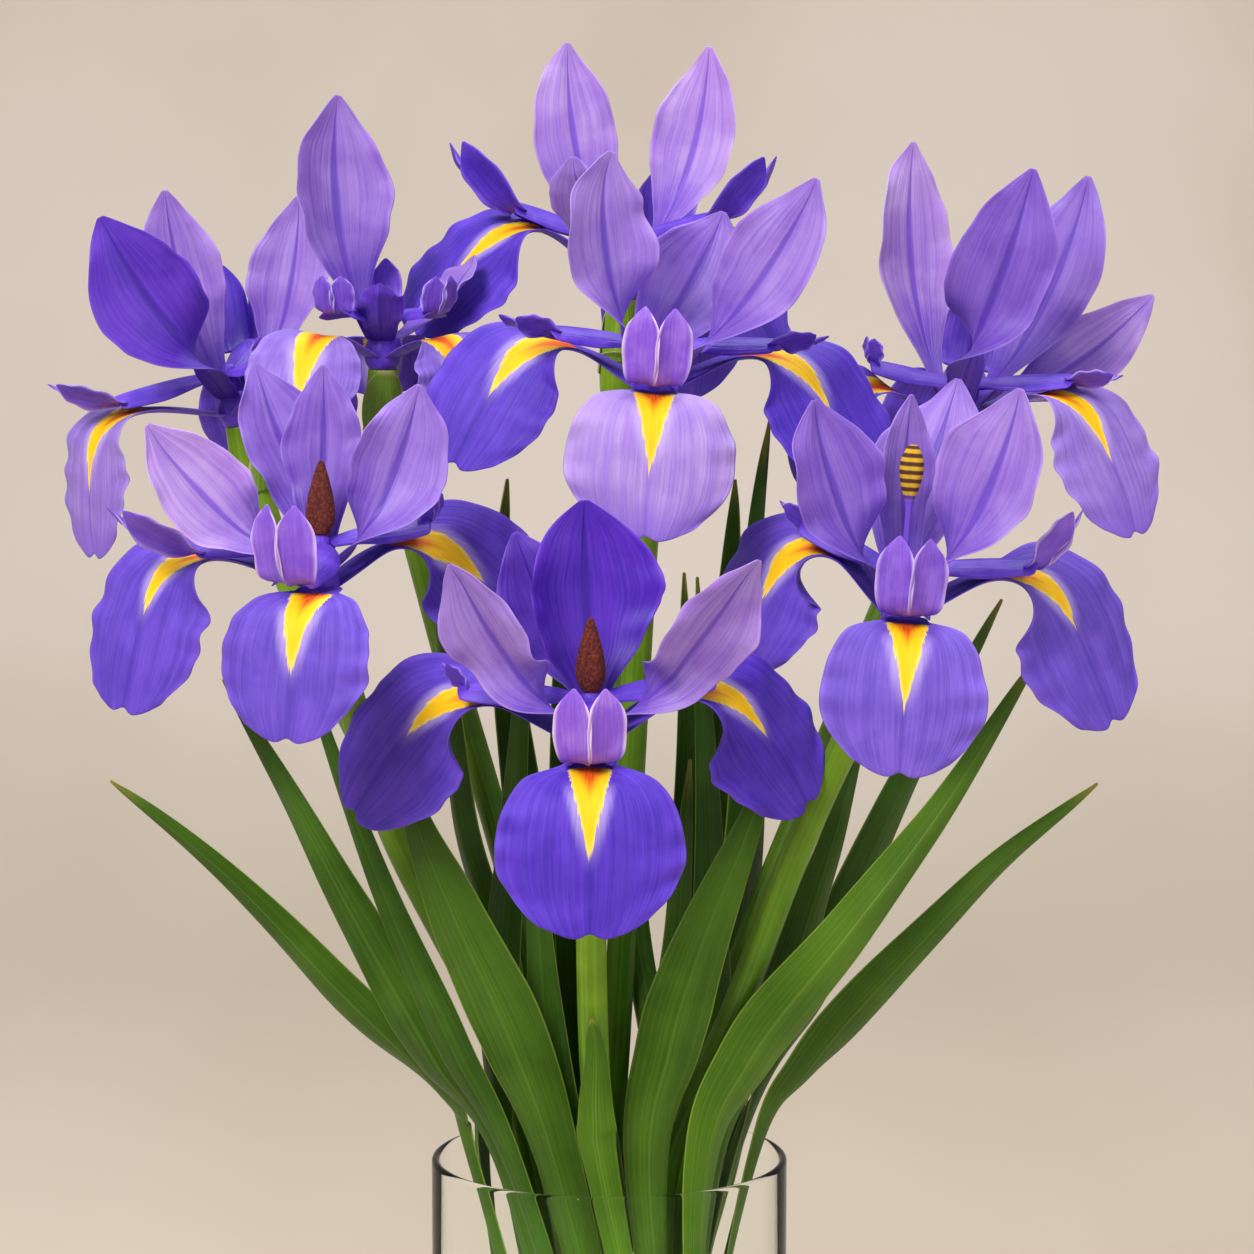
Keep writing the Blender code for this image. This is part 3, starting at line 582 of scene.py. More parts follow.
def fall_tissue():
    """A fall's velvety tissue: violet with fanned veins, the yellow signal with its orange throat, and
    painted shade down its midrib groove and on its haft.

    The velvet takes the shine off the light, and the thin blade lets a little of it through.
    """
    made, tree, shader = new_material(
        "velvety_fall_petal", roughness=0.60, ior=1.36, subsurface_weight=0.12, subsurface_scale=1.0 * MM
    )
    shader.inputs["Subsurface Radius"].default_value = (0.8, 0.4, 1.2)
    tissue, side, share, tone = split_attribute(tree, "tissue")
    _, across, beyond, _ = split_attribute(tree, "signal_place")
    patches = mottling(tree, 9.0)
    veins = tissue_streaks(tree, tissue, 9.0, 1.3)
    fine_veins = tissue_streaks(tree, tissue, 30.0, 2.2)
    deep = blend(tree, patches, "#4726B0", "#5A34C4")
    pale = blend(tree, patches, "#9A7CC8", "#AB8ED0")
    skin = blend(tree, tone, deep, pale)
    skin = wash(tree, skin, veins, 0.42, blend(tree, tone, "#35189A", "#8A60CC"))
    skin = wash(tree, skin, fine_veins, 0.22, blend(tree, tone, "#6A48D0", "#C0A2EA"))
    out = maths(tree, "ABSOLUTE", side)
    skin = blend(tree, ranged(tree, out, 0.88, 1.0, 0.0, 0.40), skin, blend(tree, tone, "#7450D4", "#C6ACEC"))
    # Painted shade: a darker band down the groove along the midrib.
    painted_groove_shade = ranged(tree, out, 0.06, 0.0, 0.0, 0.55)
    skin = blend(tree, painted_groove_shade, skin, blend(tree, tone, "#321A98", "#7E56C6"))
    hem = maths(tree, "MULTIPLY", ranged(tree, share, 0.80, 1.0), ranged(tree, tone, 0.2, 0.6, 0.0, 0.55))
    skin = blend(tree, hem, skin, "#7650CE")
    # Painted shade: the haft is darkened towards the throat, under the style arm that roofs it.
    haft = ranged(tree, share, 0.38, 0.30)
    skin = wash(tree, skin, haft, 0.8, blend(tree, patches, "#4A28B6", "#6A44CA"))
    # The signal is 11 mm wide at the throat and comes to a point 28 mm beyond it.
    ragged = maths(tree, "MULTIPLY_ADD", fine_veins, 0.05, -0.025)
    reach = maths(tree, "ADD", maths(tree, "ABSOLUTE", across), ragged)
    narrowing = maths(tree, "POWER", ranged(tree, beyond, 3.0, -0.4), 0.75)
    opening = ranged(tree, beyond, -0.45, 0.15)
    half = maths(tree, "MULTIPLY", maths(tree, "MULTIPLY", opening, 0.60), narrowing)
    margin = maths(tree, "SUBTRACT", maths(tree, "SUBTRACT", half, 0.05), reach)
    halo = ranged(tree, margin, -0.30, -0.02, 0.0, 0.55)
    halo = maths(tree, "MULTIPLY", halo, ranged(tree, beyond, 2.9, 1.6))
    halo = maths(tree, "MULTIPLY", halo, ranged(tree, beyond, 0.5, 1.2))
    skin = blend(tree, halo, skin, "#C9B4EC")
    gold = blend(tree, ranged(tree, margin, 0.0, 0.12), "#F7DA62", "#FBC404")
    spike = maths(tree, "MULTIPLY_ADD", maths(tree, "ABSOLUTE", across), -2.6, 1.35)
    heat = ranged(tree, maths(tree, "SUBTRACT", spike, beyond), 0.0, 0.9)
    gold = blend(tree, heat, gold, blend(tree, fine_veins, "#D04004", "#E8660C"))
    skin = blend(tree, ranged(tree, margin, -0.01, 0.04), skin, gold)
    tree.links.new(skin, shader.inputs["Base Color"])
    petal_bump(tree, shader, maths(tree, "ADD", veins, fine_veins))
    return made


def standard_tissue():
    """A standard's thin tissue: lilac with fine veins and a paler edge, and painted shade on its claw and
    down the groove of its midrib.
    """
    made, tree, shader = new_material(
        "satin_standard_petal", roughness=0.46, ior=1.38, subsurface_weight=0.2, subsurface_scale=1.2 * MM
    )
    shader.inputs["Subsurface Radius"].default_value = (0.9, 0.5, 1.2)
    tissue, side, share, tone = split_attribute(tree, "tissue")
    patches = mottling(tree, 12.0)
    veins = tissue_streaks(tree, tissue, 7.0, 1.2)
    fine_veins = tissue_streaks(tree, tissue, 26.0, 2.0)
    deep = blend(tree, patches, "#4614A8", "#5A28BA")
    pale = blend(tree, patches, "#A47CCA", "#B898D4")
    skin = blend(tree, tone, deep, pale)
    # Painted shade: the claw is darkened towards the base, where the petals crowd together.
    claw = ranged(tree, maths(tree, "MULTIPLY_ADD", patches, 0.10, share), 0.66, 0.12)
    skin = wash(tree, skin, claw, 0.95, blend(tree, tone, "#34128C", "#5A2CB8"))
    skin = wash(tree, skin, veins, 0.30, blend(tree, tone, "#36169A", "#7E50CA"))
    skin = wash(tree, skin, fine_veins, 0.20, blend(tree, tone, "#7448CE", "#CDB2F0"))
    out = maths(tree, "ABSOLUTE", side)
    skin = blend(tree, ranged(tree, out, 0.90, 1.0, 0.0, 0.30), skin, blend(tree, tone, "#7850D0", "#CBB4E6"))
    # Painted shade: a darker band down the groove along the midrib, which the bump below also sinks.
    taper = ranged(tree, share, 1.05, 0.5, 0.03, 0.13)
    painted_rib_shade = ranged(tree, maths(tree, "DIVIDE", out, taper), 1.0, 0.2)
    skin = wash(tree, skin, painted_rib_shade, 0.75, blend(tree, tone, "#32128E", "#6A3CC2"))
    tree.links.new(skin, shader.inputs["Base Color"])
    petal_bump(tree, shader, maths(tree, "ADD", veins, maths(tree, "MULTIPLY", painted_rib_shade, -2.0)))
    return made


def style_tissue():
    """A style arm's firmer tissue: violet along the arm, and a lilac crest with a pinkish white edge."""
    made, tree, shader = new_material(
        "satin_style_petal", roughness=0.46, ior=1.38, subsurface_weight=0.18, subsurface_scale=1.2 * MM
    )
    shader.inputs["Subsurface Radius"].default_value = (0.9, 0.5, 1.2)
    tissue, side, share, tone = split_attribute(tree, "tissue")
    patches = mottling(tree, 7.0)
    veins = tissue_streaks(tree, tissue, 6.0, 1.5)
    arm = blend(tree, patches, "#4E2AB6", "#6A42CA")
    crest = blend(tree, patches, "#8E5CD6", "#A476E0")
    crest = blend(tree, tone, blend(tree, patches, "#4A26B0", "#5E38C2"), crest)
    skin = blend(tree, ranged(tree, share, 0.95, 1.15), arm, crest)
    skin = wash(tree, skin, veins, 0.34, blend(tree, tone, "#34168E", "#7040C2"))
    out = maths(tree, "ABSOLUTE", side)
    rim = maths(tree, "MULTIPLY", ranged(tree, out, 0.74, 1.0), ranged(tree, share, 1.0, 1.25))
    skin = wash(tree, skin, rim, 0.75, blend(tree, tone, "#8260D8", "#F0D8F2"))
    tree.links.new(skin, shader.inputs["Base Color"])
    petal_bump(tree, shader, veins)
    return made


def leaf_tissue():
    """A strap leaf's waxy skin: parallel veins, a grey bloom in patches, pale margins, a yellowed tip and a
    painted highlight along its keel.
    """
    made, tree, shader = new_material(
        "waxy_strap_leaf", roughness=0.42, specular_ior_level=0.25, subsurface_weight=0.06,
        subsurface_scale=1.0 * MM
    )
    tissue, side, share, tone = split_attribute(tree, "tissue")
    patches = mottling(tree, 28.0)
    veins = tissue_streaks(tree, tissue, 16.0, 0.9)
    fine_veins = tissue_streaks(tree, tissue, 46.0, 1.4)
    deep = blend(tree, patches, "#1C3C00", "#2C5600")
    fresh = blend(tree, patches, "#487404", "#5E8A0E")
    skin = blend(tree, tone, deep, fresh)
    skin = wash(tree, skin, patches, 0.07, "#668C4C")
    skin = wash(tree, skin, veins, 0.24, blend(tree, tone, "#4A7410", "#7A9E2A"))
    skin = wash(tree, skin, fine_veins, 0.34, blend(tree, tone, "#0E2800", "#2A5204"))
    out = maths(tree, "ABSOLUTE", side)
    skin = blend(tree, ranged(tree, out, 0.92, 1.0, 0.0, 0.6), skin, "#94AE44")
    # Painted highlight: a lighter band along the keel, where the ridge of the fold catches the light.
    skin = blend(tree, ranged(tree, out, 0.08, 0.0, 0.0, 0.35), skin, blend(tree, tone, "#3E6610", "#86A840"))
    skin = blend(tree, ranged(tree, share, 0.93, 1.0, 0.0, 0.6), skin, "#A89A4A")
    tree.links.new(skin, shader.inputs["Base Color"])
    petal_bump(tree, shader, maths(tree, "ADD", veins, fine_veins), cells_mm=0.6, depth_mm=0.16)
    return made


def stem_tissue():
    """A stem's smooth green skin, faintly ribbed, paler towards the flower and at the cut foot."""
    made, tree, shader = new_material(
        "smooth_flower_stem", roughness=0.40, specular_ior_level=0.3, subsurface_weight=0.08,
        subsurface_scale=1.5 * MM
    )
    tissue, _, share, tone = split_attribute(tree, "tissue")
    patches = mottling(tree, 14.0)
    ribs = tissue_streaks(tree, tissue, 11.0, 1.2)
    low = blend(tree, patches, "#3C6A08", "#4E7E10")
    high = blend(tree, patches, "#749606", "#8EAE10")
    skin = blend(tree, maths(tree, "MULTIPLY", ranged(tree, share, 0.45, 0.85), tone), low, high)
    skin = wash(tree, skin, ribs, 0.22, "#92B03A")
    skin = blend(tree, ranged(tree, share, 0.02, 0.0, 0.0, 0.8), skin, "#D6D9A6")
    tree.links.new(skin, shader.inputs["Base Color"])
    petal_bump(tree, shader, ribs, cells_mm=0.7, depth_mm=0.12)
    return made


def spathe_tissue():
    """The two papery bracts round the bud's base: green, with thin straw-coloured margins and tips."""
    made, tree, shader = new_material(
        "papery_spathe", roughness=0.55, ior=1.42, subsurface_weight=0.15, subsurface_scale=1.0 * MM
    )
    tissue, side, share, tone = split_attribute(tree, "tissue")
    patches = mottling(tree, 10.0)
    veins = tissue_streaks(tree, tissue, 18.0, 1.0)
    deep = blend(tree, patches, "#35600C", "#4A7416")
    fresh = blend(tree, patches, "#5C8014", "#76962A")
    skin = blend(tree, tone, deep, fresh)
    skin = wash(tree, skin, veins, 0.30, "#8AA83A")
    margin = ranged(tree, maths(tree, "ABSOLUTE", side), 0.82, 1.0)
    dry = maths(tree, "MAXIMUM", margin, ranged(tree, share, 0.86, 1.0))
    skin = wash(tree, skin, dry, 0.7, "#BDB27A")
    tree.links.new(skin, shader.inputs["Base Color"])
    petal_bump(tree, shader, veins, cells_mm=0.6, depth_mm=0.16)
    return made


def anther_pollen():
    """Ripe anthers: red-brown sacs with lines of golden pollen, dull and grainy."""
    made, tree, shader = new_material("pollen_anther", roughness=0.85, ior=1.45)
    _, _, share, tone = split_attribute(tree, "tissue")
    place = add(tree, "ShaderNodeTexCoord").outputs["Object"]
    grains = add(tree, "ShaderNodeTexNoise", {"Vector": place, "Scale": 1 / (0.7 * MM), "Detail": 3.0})
    speckle = ranged(tree, grains.outputs[0], 0.40, 0.70)
    brown = blend(tree, speckle, "#4A140E", "#7A2E16")
    bands = ranged(tree, maths(tree, "PINGPONG", share, 0.035), 0.012, 0.024)
    gold = blend(tree, bands, "#4A2A1C", "#E2B42A")
    skin = blend(tree, tone, brown, gold)
    filament = maths(tree, "MULTIPLY", ranged(tree, share, 0.60, 0.52), ranged(tree, tone, 0.5, 0.6))
    skin = blend(tree, filament, skin, "#6E46C0")
    tree.links.new(skin, shader.inputs["Base Color"])
    bump = add(tree, "ShaderNodeBump", {"Height": grains.outputs[0], "Strength": 0.5, "Distance": 0.2 * MM})
    tree.links.new(bump.outputs[0], shader.inputs["Normal"])
    return made


def vase_glass():
    """Clear soda-lime glass, blown and fire-polished: pale edges, sharp reflections and a faint waviness.

    Its index is lower than the solid's, so that the thin wall bends what is behind it as little as it should.
    """
    made, tree, shader = new_material(
        "clear_soda_lime_glass", roughness=0.0, ior=1.12, transmission_weight=1.0
    )
    place = add(tree, "ShaderNodeTexCoord").outputs["Object"]
    stretch = add(tree, "ShaderNodeMapping", {"Vector": place, "Scale": (1.0, 1.0, 0.35)})
    waves = add(tree, "ShaderNodeTexNoise", {"Vector": stretch.outputs[0], "Scale": 1 / (30 * MM),
                                             "Detail": 1.0})
    shader.inputs["Base Color"].default_value = linear("#FDFFFE")
    bump = add(tree, "ShaderNodeBump", {"Height": waves.outputs[0], "Strength": 0.15, "Distance": 0.4 * MM})
    tree.links.new(bump.outputs[0], shader.inputs["Normal"])
    # Rays towards a lamp go straight through, so that the stems and the floor inside are lit.
    path = add(tree, "ShaderNodeLightPath")
    clear = add(tree, "ShaderNodeBsdfTransparent", {"Color": linear("#EAF2EE")})
    lit = add(tree, "ShaderNodeMixShader", {0: path.outputs["Is Shadow Ray"], 1: shader.outputs[0],
                                            2: clear.outputs[0]})
    tree.links.new(lit.outputs[0], tree.nodes["Material Output"].inputs["Surface"])
    return made


def matt_backdrop():
    """A matt plaster-coloured sheet, with the faint cloudiness of a painted studio ground, and painted shade
    that darkens it where it lies flat as the floor.
    """
    made, tree, shader = new_material("matt_backdrop", roughness=0.9)
    place = add(tree, "ShaderNodeTexCoord").outputs["Object"]
    spread = add(tree, "ShaderNodeMapping", {"Vector": place, "Scale": (1.0, 0.22, 1.0)})
    haze = add(tree, "ShaderNodeTexNoise", {"Vector": spread.outputs[0], "Scale": 3.2, "Detail": 3.0})
    clouds = ranged(tree, haze.outputs[0], 0.3, 0.7)
    # Painted shade: the sheet is darker towards the bottom, where it lies flat as the floor, than up the
    # wall.
    height = add(tree, "ShaderNodeSeparateXYZ", {0: place}).outputs[2]
    wall = blend(tree, clouds, "#C6B9AC", "#D0C5BA")
    floor = blend(tree, clouds, "#B8AA98", "#C1B5A4")
    tree.links.new(blend(tree, ranged(tree, height, 0.14, 0.0), wall, floor), shader.inputs["Base Color"])
    return made


MATERIALS = {
    "fall": fall_tissue(),
    "standard": standard_tissue(),
    "style": style_tissue(),
    "leaf": leaf_tissue(),
    "stem": stem_tissue(),
    "spathe": spathe_tissue(),
    "anther": anther_pollen(),
    "glass": vase_glass(),
}

# ---------------------------------------------------------------------------------------------------------
# Building in bmesh
# ---------------------------------------------------------------------------------------------------------


class Tissue:
    """A bmesh of one piece, whose sheets carry the attributes that the materials read."""

    def __init__(self):
        self.bm = bmesh.new()
        self.marks = self.bm.verts.layers.float_vector.new("tissue")
        self.signal = self.bm.verts.layers.float_vector.new("signal_place")
        self.body = self.bm.verts.layers.deform.verify()

    def sheet(self, columns, rows, place, tone, thin_edge=0.45, length=0.0, share_from=0.0):
        """A grid laid out by place(share, side), in mm, thinner towards its edges."""
        made = bmesh.ops.create_grid(self.bm, x_segments=columns, y_segments=rows, size=1.0)["verts"]
        for vert in made:
            side, share = vert.co.x, (vert.co.y + 1) / 2
            rim = max(eased((abs(side) - 0.55) / 0.45), eased((share - 0.85) / 0.15))
            vert[self.body][0] = 1.0 - (1.0 - thin_edge) * rim
            vert[self.marks] = Vector((side, share + share_from, tone))
            spot = place(share, side)
            if length:
                middle = place(share, 0.0)
                across = math.copysign((spot - middle).length, side)
                vert[self.signal] = Vector((across, (share - THROAT) * length, 0.0)) / 10.0
            vert.co = spot * MM
        return made

    def tube(self, around, rows, place, tone):
        """A closed tube laid out by place(share, angle), with both ends filled."""
        made = bmesh.ops.create_grid(self.bm, x_segments=around, y_segments=rows, size=1.0)["verts"]
        for vert in made:
            side, share = vert.co.x, (vert.co.y + 1) / 2
            vert[self.body][0] = 1.0
            vert[self.marks] = Vector((side, share, tone))
            vert.co = place(share, side * math.pi) * MM
        bmesh.ops.remove_doubles(self.bm, verts=made, dist=0.001 * MM)
        rims = [edge for edge in self.bm.edges if edge.is_boundary]
        bmesh.ops.edgeloop_fill(self.bm, edges=rims)
        bmesh.ops.recalc_face_normals(self.bm, faces=self.bm.faces)

    def finish(self, name, kind, node=None, place=None, thickness=0.0, smoothing=1):
        """The piece as an object that rides on the body, in the place of a CAD node if one is given."""
        if place is not None:
            bmesh.ops.transform(self.bm, matrix=place, verts=self.bm.verts)
        mesh = bpy.data.meshes.new(name)
        self.bm.to_mesh(mesh)
        self.bm.free()
        mesh.shade_smooth()
        mesh.materials.append(MATERIALS[kind])
        piece = bpy.data.objects.new(name, mesh)
        SCENE.collection.objects.link(piece)
        piece.vertex_groups.new(name="body")
        if thickness:
            solid = piece.modifiers.new("thickness", "SOLIDIFY")
            solid.thickness = thickness * MM
            solid.offset = 0.0
            solid.vertex_group = "body"
        if smoothing:
            smooth = piece.modifiers.new("smoothing", "SUBSURF")
            smooth.levels = smooth.render_levels = smoothing
        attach(piece, "root")
        if node:
            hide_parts(node)
        return piece


# ---------------------------------------------------------------------------------------------------------
# Petals
# ---------------------------------------------------------------------------------------------------------


def flower_place(flower):
    towards, degrees = flower["tilt"]
    axis = Vector((0, 0, 1)).cross(level(towards))
    return Matrix.Translation(Vector(flower["hub"]) * MM) @ Matrix.Rotation(math.radians(degrees), 4, axis)


def fall_sheet(tissue, azimuth, spec, tone, seed):
    """A fall: a narrow haft that arches out, and a broad blade that hangs from it with a waved edge."""
    climb_keys = (
        (0.0, spec.lift), (0.20, spec.lift - 2), (0.36, 0.4 * spec.lift - 8), (0.45, 0.3 * spec.droop),
        (0.55, 0.75 * spec.droop), (0.66, 0.92 * spec.droop), (1.0, spec.droop),
    )
    roll = 0.0 if spec.face is None else -shortest_turn(spec.face - azimuth - spec.sweep)
    length = FALL_LENGTH * spec.size
    midrib = Midrib(
        FALL_START, azimuth, spec.sweep, lambda s: through_keys(climb_keys, s), length, roll, (0.25, 0.6)
    )

    def place(share, side):
        blade = eased((share - THROAT) / 0.25)
        half = through_keys(FALL_HALF_WIDTH, share) * (1.0 + (spec.width - 1.0) * eased(share * 3))
        half += BASE_FLESH * (1.0 - eased((share - 0.1) / 0.3))
        half *= 1.0 + blade * 0.035 * noise.noise(Vector((seed * 3.1 + side, share * 7.0, seed)))
        round_tip = FALL_ROUNDING * eased(2 * share - 1) * side * side
        notch = 0.028 * hump(side, 0.13) * eased((share - 0.8) / 0.2)
        edge = 0.012 * blade * abs(side) ** 3 * noise.noise(Vector((side * 4.0, share * 9.0, seed + 5.0)))
        bend = FALL_HAFT_CUP + (FALL_BLADE_CUP - FALL_HAFT_CUP) * eased((share - 0.25) / 0.3)
        frill = abs(side) ** 3 * blade
        lift = frill * FALL_WAVE * noise.noise(Vector((share * 6.5, math.copysign(2.0, side), seed)))
        lift += frill * FALL_RIPPLE * math.sin(share * 46.0 + seed * 2.3 + 1.7 * side)
        lift += blade * FALL_DENT * noise.noise(Vector((side * 1.6, share * 3.4, seed + 9.0)))
        groove, half_width = FALL_GROOVE
        lift -= groove * blade * hump(side * half, half_width)
        return midrib.point(share - round_tip - notch + edge, side, half, bend, lift)

    tissue.sheet(18, 44, place, tone, length=length)


def standard_sheet(tissue, azimuth, spec, tone, seed):
    """A standard: a stiff claw that opens to an upright pointed blade, keeled along its midrib."""
    climb_keys = (
        (0.0, 64.0 - spec.lean), (0.3, 82.0 - spec.lean), (0.6, 92.0 - spec.lean),
        (0.8, 98.0 - spec.lean - 0.5 * spec.curl), (1.0, 102.0 - spec.lean - spec.curl * 2),
    )
    roll = 0.0 if spec.face is None else shortest_turn(spec.face - azimuth - spec.sweep - 180.0)
    midrib = Midrib(
        STANDARD_START, azimuth, spec.sweep, lambda s: through_keys(climb_keys, s),
        STANDARD_LENGTH * spec.length, roll,
    )

    def place(share, side):
        blade = eased((share - 0.22) / 0.3)
        half = through_keys(STANDARD_HALF_WIDTH, share) * (1.0 + (spec.width - 1.0) * eased(share * 3))
        half += BASE_FLESH * (1.0 - eased((share - 0.1) / 0.4))
        half *= 1.0 + blade * 0.12 * noise.noise(Vector((seed * 2.7 + side, share * 6.0, seed)))
        half *= 1.0 + blade * 0.04 * noise.noise(Vector((seed + 2.0 * side, share * 19.0, seed)))
        fade = eased((1.0 - share) / 0.12)
        frill = abs(side) ** 3 * blade * fade
        lift = frill * STANDARD_WAVE * noise.noise(Vector((share * 5.0, math.copysign(2.0, side), seed)))
        lift += frill * STANDARD_RIPPLE * math.sin(share * 34.0 + seed * 1.9 + 1.3 * side)
        lift += blade * fade * STANDARD_DENT * noise.noise(Vector((side * 1.4, share * 2.6, seed + 4.0)))
        groove, half_width = STANDARD_GROOVE
        lift -= groove * blade * fade * hump(side * half, half_width)
        return midrib.point(share, side, half, STANDARD_CUP, lift)

    tissue.sheet(14, 40, place, tone)


def style_sheets(tissue, azimuth, spec, tone, seed):
    """A style arm roofs the fall's haft, and ends in a crest of two upright lobes."""
    climb_keys = (
        (0.0, 0.95 * spec.lift - 7), (0.3, 0.95 * spec.lift - 15), (0.7, 0.85 * spec.lift - 19),
        (1.0, 0.8 * spec.lift - 19),
    )
    arm = Midrib(
        STYLE_START, azimuth, spec.sweep, lambda s: through_keys(climb_keys, s), STYLE_ARM_LENGTH * spec.size
    )
    arm_breadth = 0.4 + 0.6 * min(spec.size / STYLE_FULL_SIZE, 1.0)
    breadth = 0.3 + 0.7 * spec.crest

    def arm_place(share, side):
        half = through_keys(STYLE_ARM_HALF_WIDTH, share) * arm_breadth
        tip = 0.05 * side * side * eased(share)
        keel, half_width = STYLE_KEEL
        return arm.point(share - tip, side, half, STYLE_ARCH, keel * hump(side * half, half_width))

    tissue.sheet(8, 14, arm_place, tone, thin_edge=0.6)
    end = arm.at(0.93)[0]
    heading = azimuth + spec.sweep
    turn = 0.0 if spec.face is None else 0.7 * shortest_turn(spec.face - heading)
    across = level(heading + turn + 90.0)
    for hand in (-1.0, 1.0):
        lean = spec.rise + 4.0 * noise.noise(Vector((seed, hand, 3.0)))
        lobe_keys = ((0.0, 0.3 * lean), (0.2, 0.85 * lean), (0.55, lean), (0.8, lean + 5), (1.0, lean + 18))
        foot = end + across * (hand * CREST_SPREAD * breadth) - Vector((0, 0, CREST_SINK * spec.crest))
        lobe = Midrib(
            (0.0, 0.0), heading + hand * 3.0, 0.0, lambda s: through_keys(lobe_keys, s),
            (STYLE_CREST_LENGTH + CREST_SINK) * spec.crest, turn + hand * 12.0, (0.0, 0.4),
        )

        def lobe_place(share, side):
            half = through_keys(CREST_HALF_WIDTH, share) * breadth
            outer = max(0.0, side * hand)
            lift = 0.35 * abs(side) ** 3 * math.sin(share * 15.0 + seed + hand) + 0.35 * outer
            tip = 0.09 * side * side * eased((share - 0.5) * 2)
            return foot + lobe.point(share - tip, side, half, CREST_ARCH + 0.05 * hand * side, lift)

        tissue.sheet(10, 18, lobe_place, tone, share_from=1.0)


def build_core(name, hub, flower_at):
    """A fleshy spindle on the flower's axis, which the petals grow from."""
    radius, low, high = hub

    def place(share, angle):
        swell = radius * math.sin(math.pi * (0.12 + 0.76 * share)) ** 0.5
        return Vector((swell * math.cos(angle), swell * math.sin(angle), low + (high - low) * share))

    core = Tissue()
    core.tube(16, 6, place, 0.0)
    core.finish(name, "style", None, flower_at)


def build_anther(name, anther, place, tone):
    """Two pollen sacs joined along their backs, on a filament above the style."""
    half_widths, height = anther

    def sac_place(share, angle):
        half = through_keys(half_widths, share)
        groove = 1.0 - 0.22 * hump(math.cos(angle), 0.25) * eased(share * 4)
        spot = Vector((half * math.cos(angle), half * math.sin(angle) * 0.8, 0.0)) * groove
        return spot + Vector((0, 0, ANTHER_FOOT + height * share))

    sacs = Tissue()
    sacs.tube(28, 26, sac_place, tone)
    sacs.finish(name, "anther", name, place)


def build_flower(name, flower, seed):
    """The three whorls of a flower, each as one piece, with its core and its anther."""
    place = flower_place(flower)
    heading = flower["heading"]
    tones = TONES[name]

    falls = Tissue()
    for i, (spec, tone) in enumerate(zip(flower["falls"], tones["falls"])):
        fall_sheet(falls, heading + WHORL_STEP * i, spec, tone, seed + 1.7 * i)
    falls.finish(f"{name}_falls", "fall", f"{name}_falls", place, 0.8)

    standards = Tissue()
    for i, (spec, tone) in enumerate(zip(flower["standards"], tones["standards"])):
        start = heading + WHORL_STEP * (i + 0.5) if spec.start is None else spec.start
        standard_sheet(standards, start, spec, tone, seed + 11.3 + 1.7 * i)
    standards.finish(f"{name}_standards", "standard", f"{name}_standards", place, 0.7)

    styles = Tissue()
    for i, (spec, tone) in enumerate(zip(flower["falls"], tones["crests"])):
        style_sheets(styles, heading + WHORL_STEP * i, spec, tone, seed + 23.9 + 1.7 * i)
    styles.finish(f"{name}_styles", "style", f"{name}_styles", place, 0.8)

    build_core(f"{name}_throat", THROAT_HUB, place)
    build_core(f"{name}_style_column", COLUMN_HUB, place)
    if "anther" in flower:
        build_anther(f"{name}_anther", flower["anther"], place, ANTHER_TONES[name])


# ---------------------------------------------------------------------------------------------------------
# Stems and leaves
# ---------------------------------------------------------------------------------------------------------


def vase_run(azimuth, radius, shares):
    """Points from the foot on the vase's floor to the rim, along one straight leaning line."""
    rim = level(azimuth) * radius + Vector((0, 0, VASE_HEIGHT))
    foot = level(azimuth + CROSSING) * (radius - FOOT_INSET) + Vector((0, 0, FOOT_HEIGHT))
    return [foot.lerp(rim, share) for share in shares]


def ring_frame(points, share):
    """The centre of a stem's section and two directions across it."""
    centre = on_curve(points, share)
    ahead = (on_curve(points, share + 0.005) - on_curve(points, share - 0.005)).normalized()
    sideways = ahead.cross(Vector((0, 1, 0))).normalized()
    return centre, sideways, ahead.cross(sideways)


def build_stem(name, flower, seed):
    """The stem with its ovary, which swells under the petals, and the two bracts wrapped round it."""
    place = flower_place(flower)
    axis = place.to_3x3() @ Vector((0, 0, 1))
    hub = Vector(flower["hub"])
    top = hub + axis * STEM_TOP
    run = vase_run(flower["rim"], STEM_RING, (0.0, 0.35, 0.7, 1.0))
    points = run + [Vector(p) for p in reversed(flower["path"])] + [top - axis * NECK_LENGTH, top]

    def radius_at(centre):
        return STEM_RADIUS * (1.0 + OVARY_SWELL * hump((top - centre).length - OVARY_DEPTH, OVARY_SPREAD))

    def stem_place(share, angle):
        centre, sideways, forward = ring_frame(points, share)
        out = sideways * math.cos(angle) + forward * math.sin(angle)
        return centre + out * (radius_at(centre) + STEM_RIDGE * math.cos(6 * angle))

    stem = Tissue()
    fresh = 1.0 if name == "iris_front" else 0.55
    stem.tube(18, 90, stem_place, fresh)
    stem.finish(f"{name}_stem", "stem", f"{name}_stem", smoothing=0)

    spathe = Tissue()
    for hand, (foot, tip) in enumerate(BRACTS):
        turn = seed * 2.1 + hand * math.pi

        def bract_place(share, side):
            centre, sideways, forward = ring_frame(points, foot + (tip - foot) * share)
            wrap = 1.9 * (1.0 - 0.9 * share**2.2)
            angle = turn + side * wrap
            gap = 0.5 + 1.6 * share**3
            out = sideways * math.cos(angle) + forward * math.sin(angle)
            return centre + out * (radius_at(centre) + gap)

        spathe.sheet(12, 22, bract_place, fresh, thin_edge=0.5)
    spathe.finish(f"{name}_spathe", "spathe", None, None, 0.5)


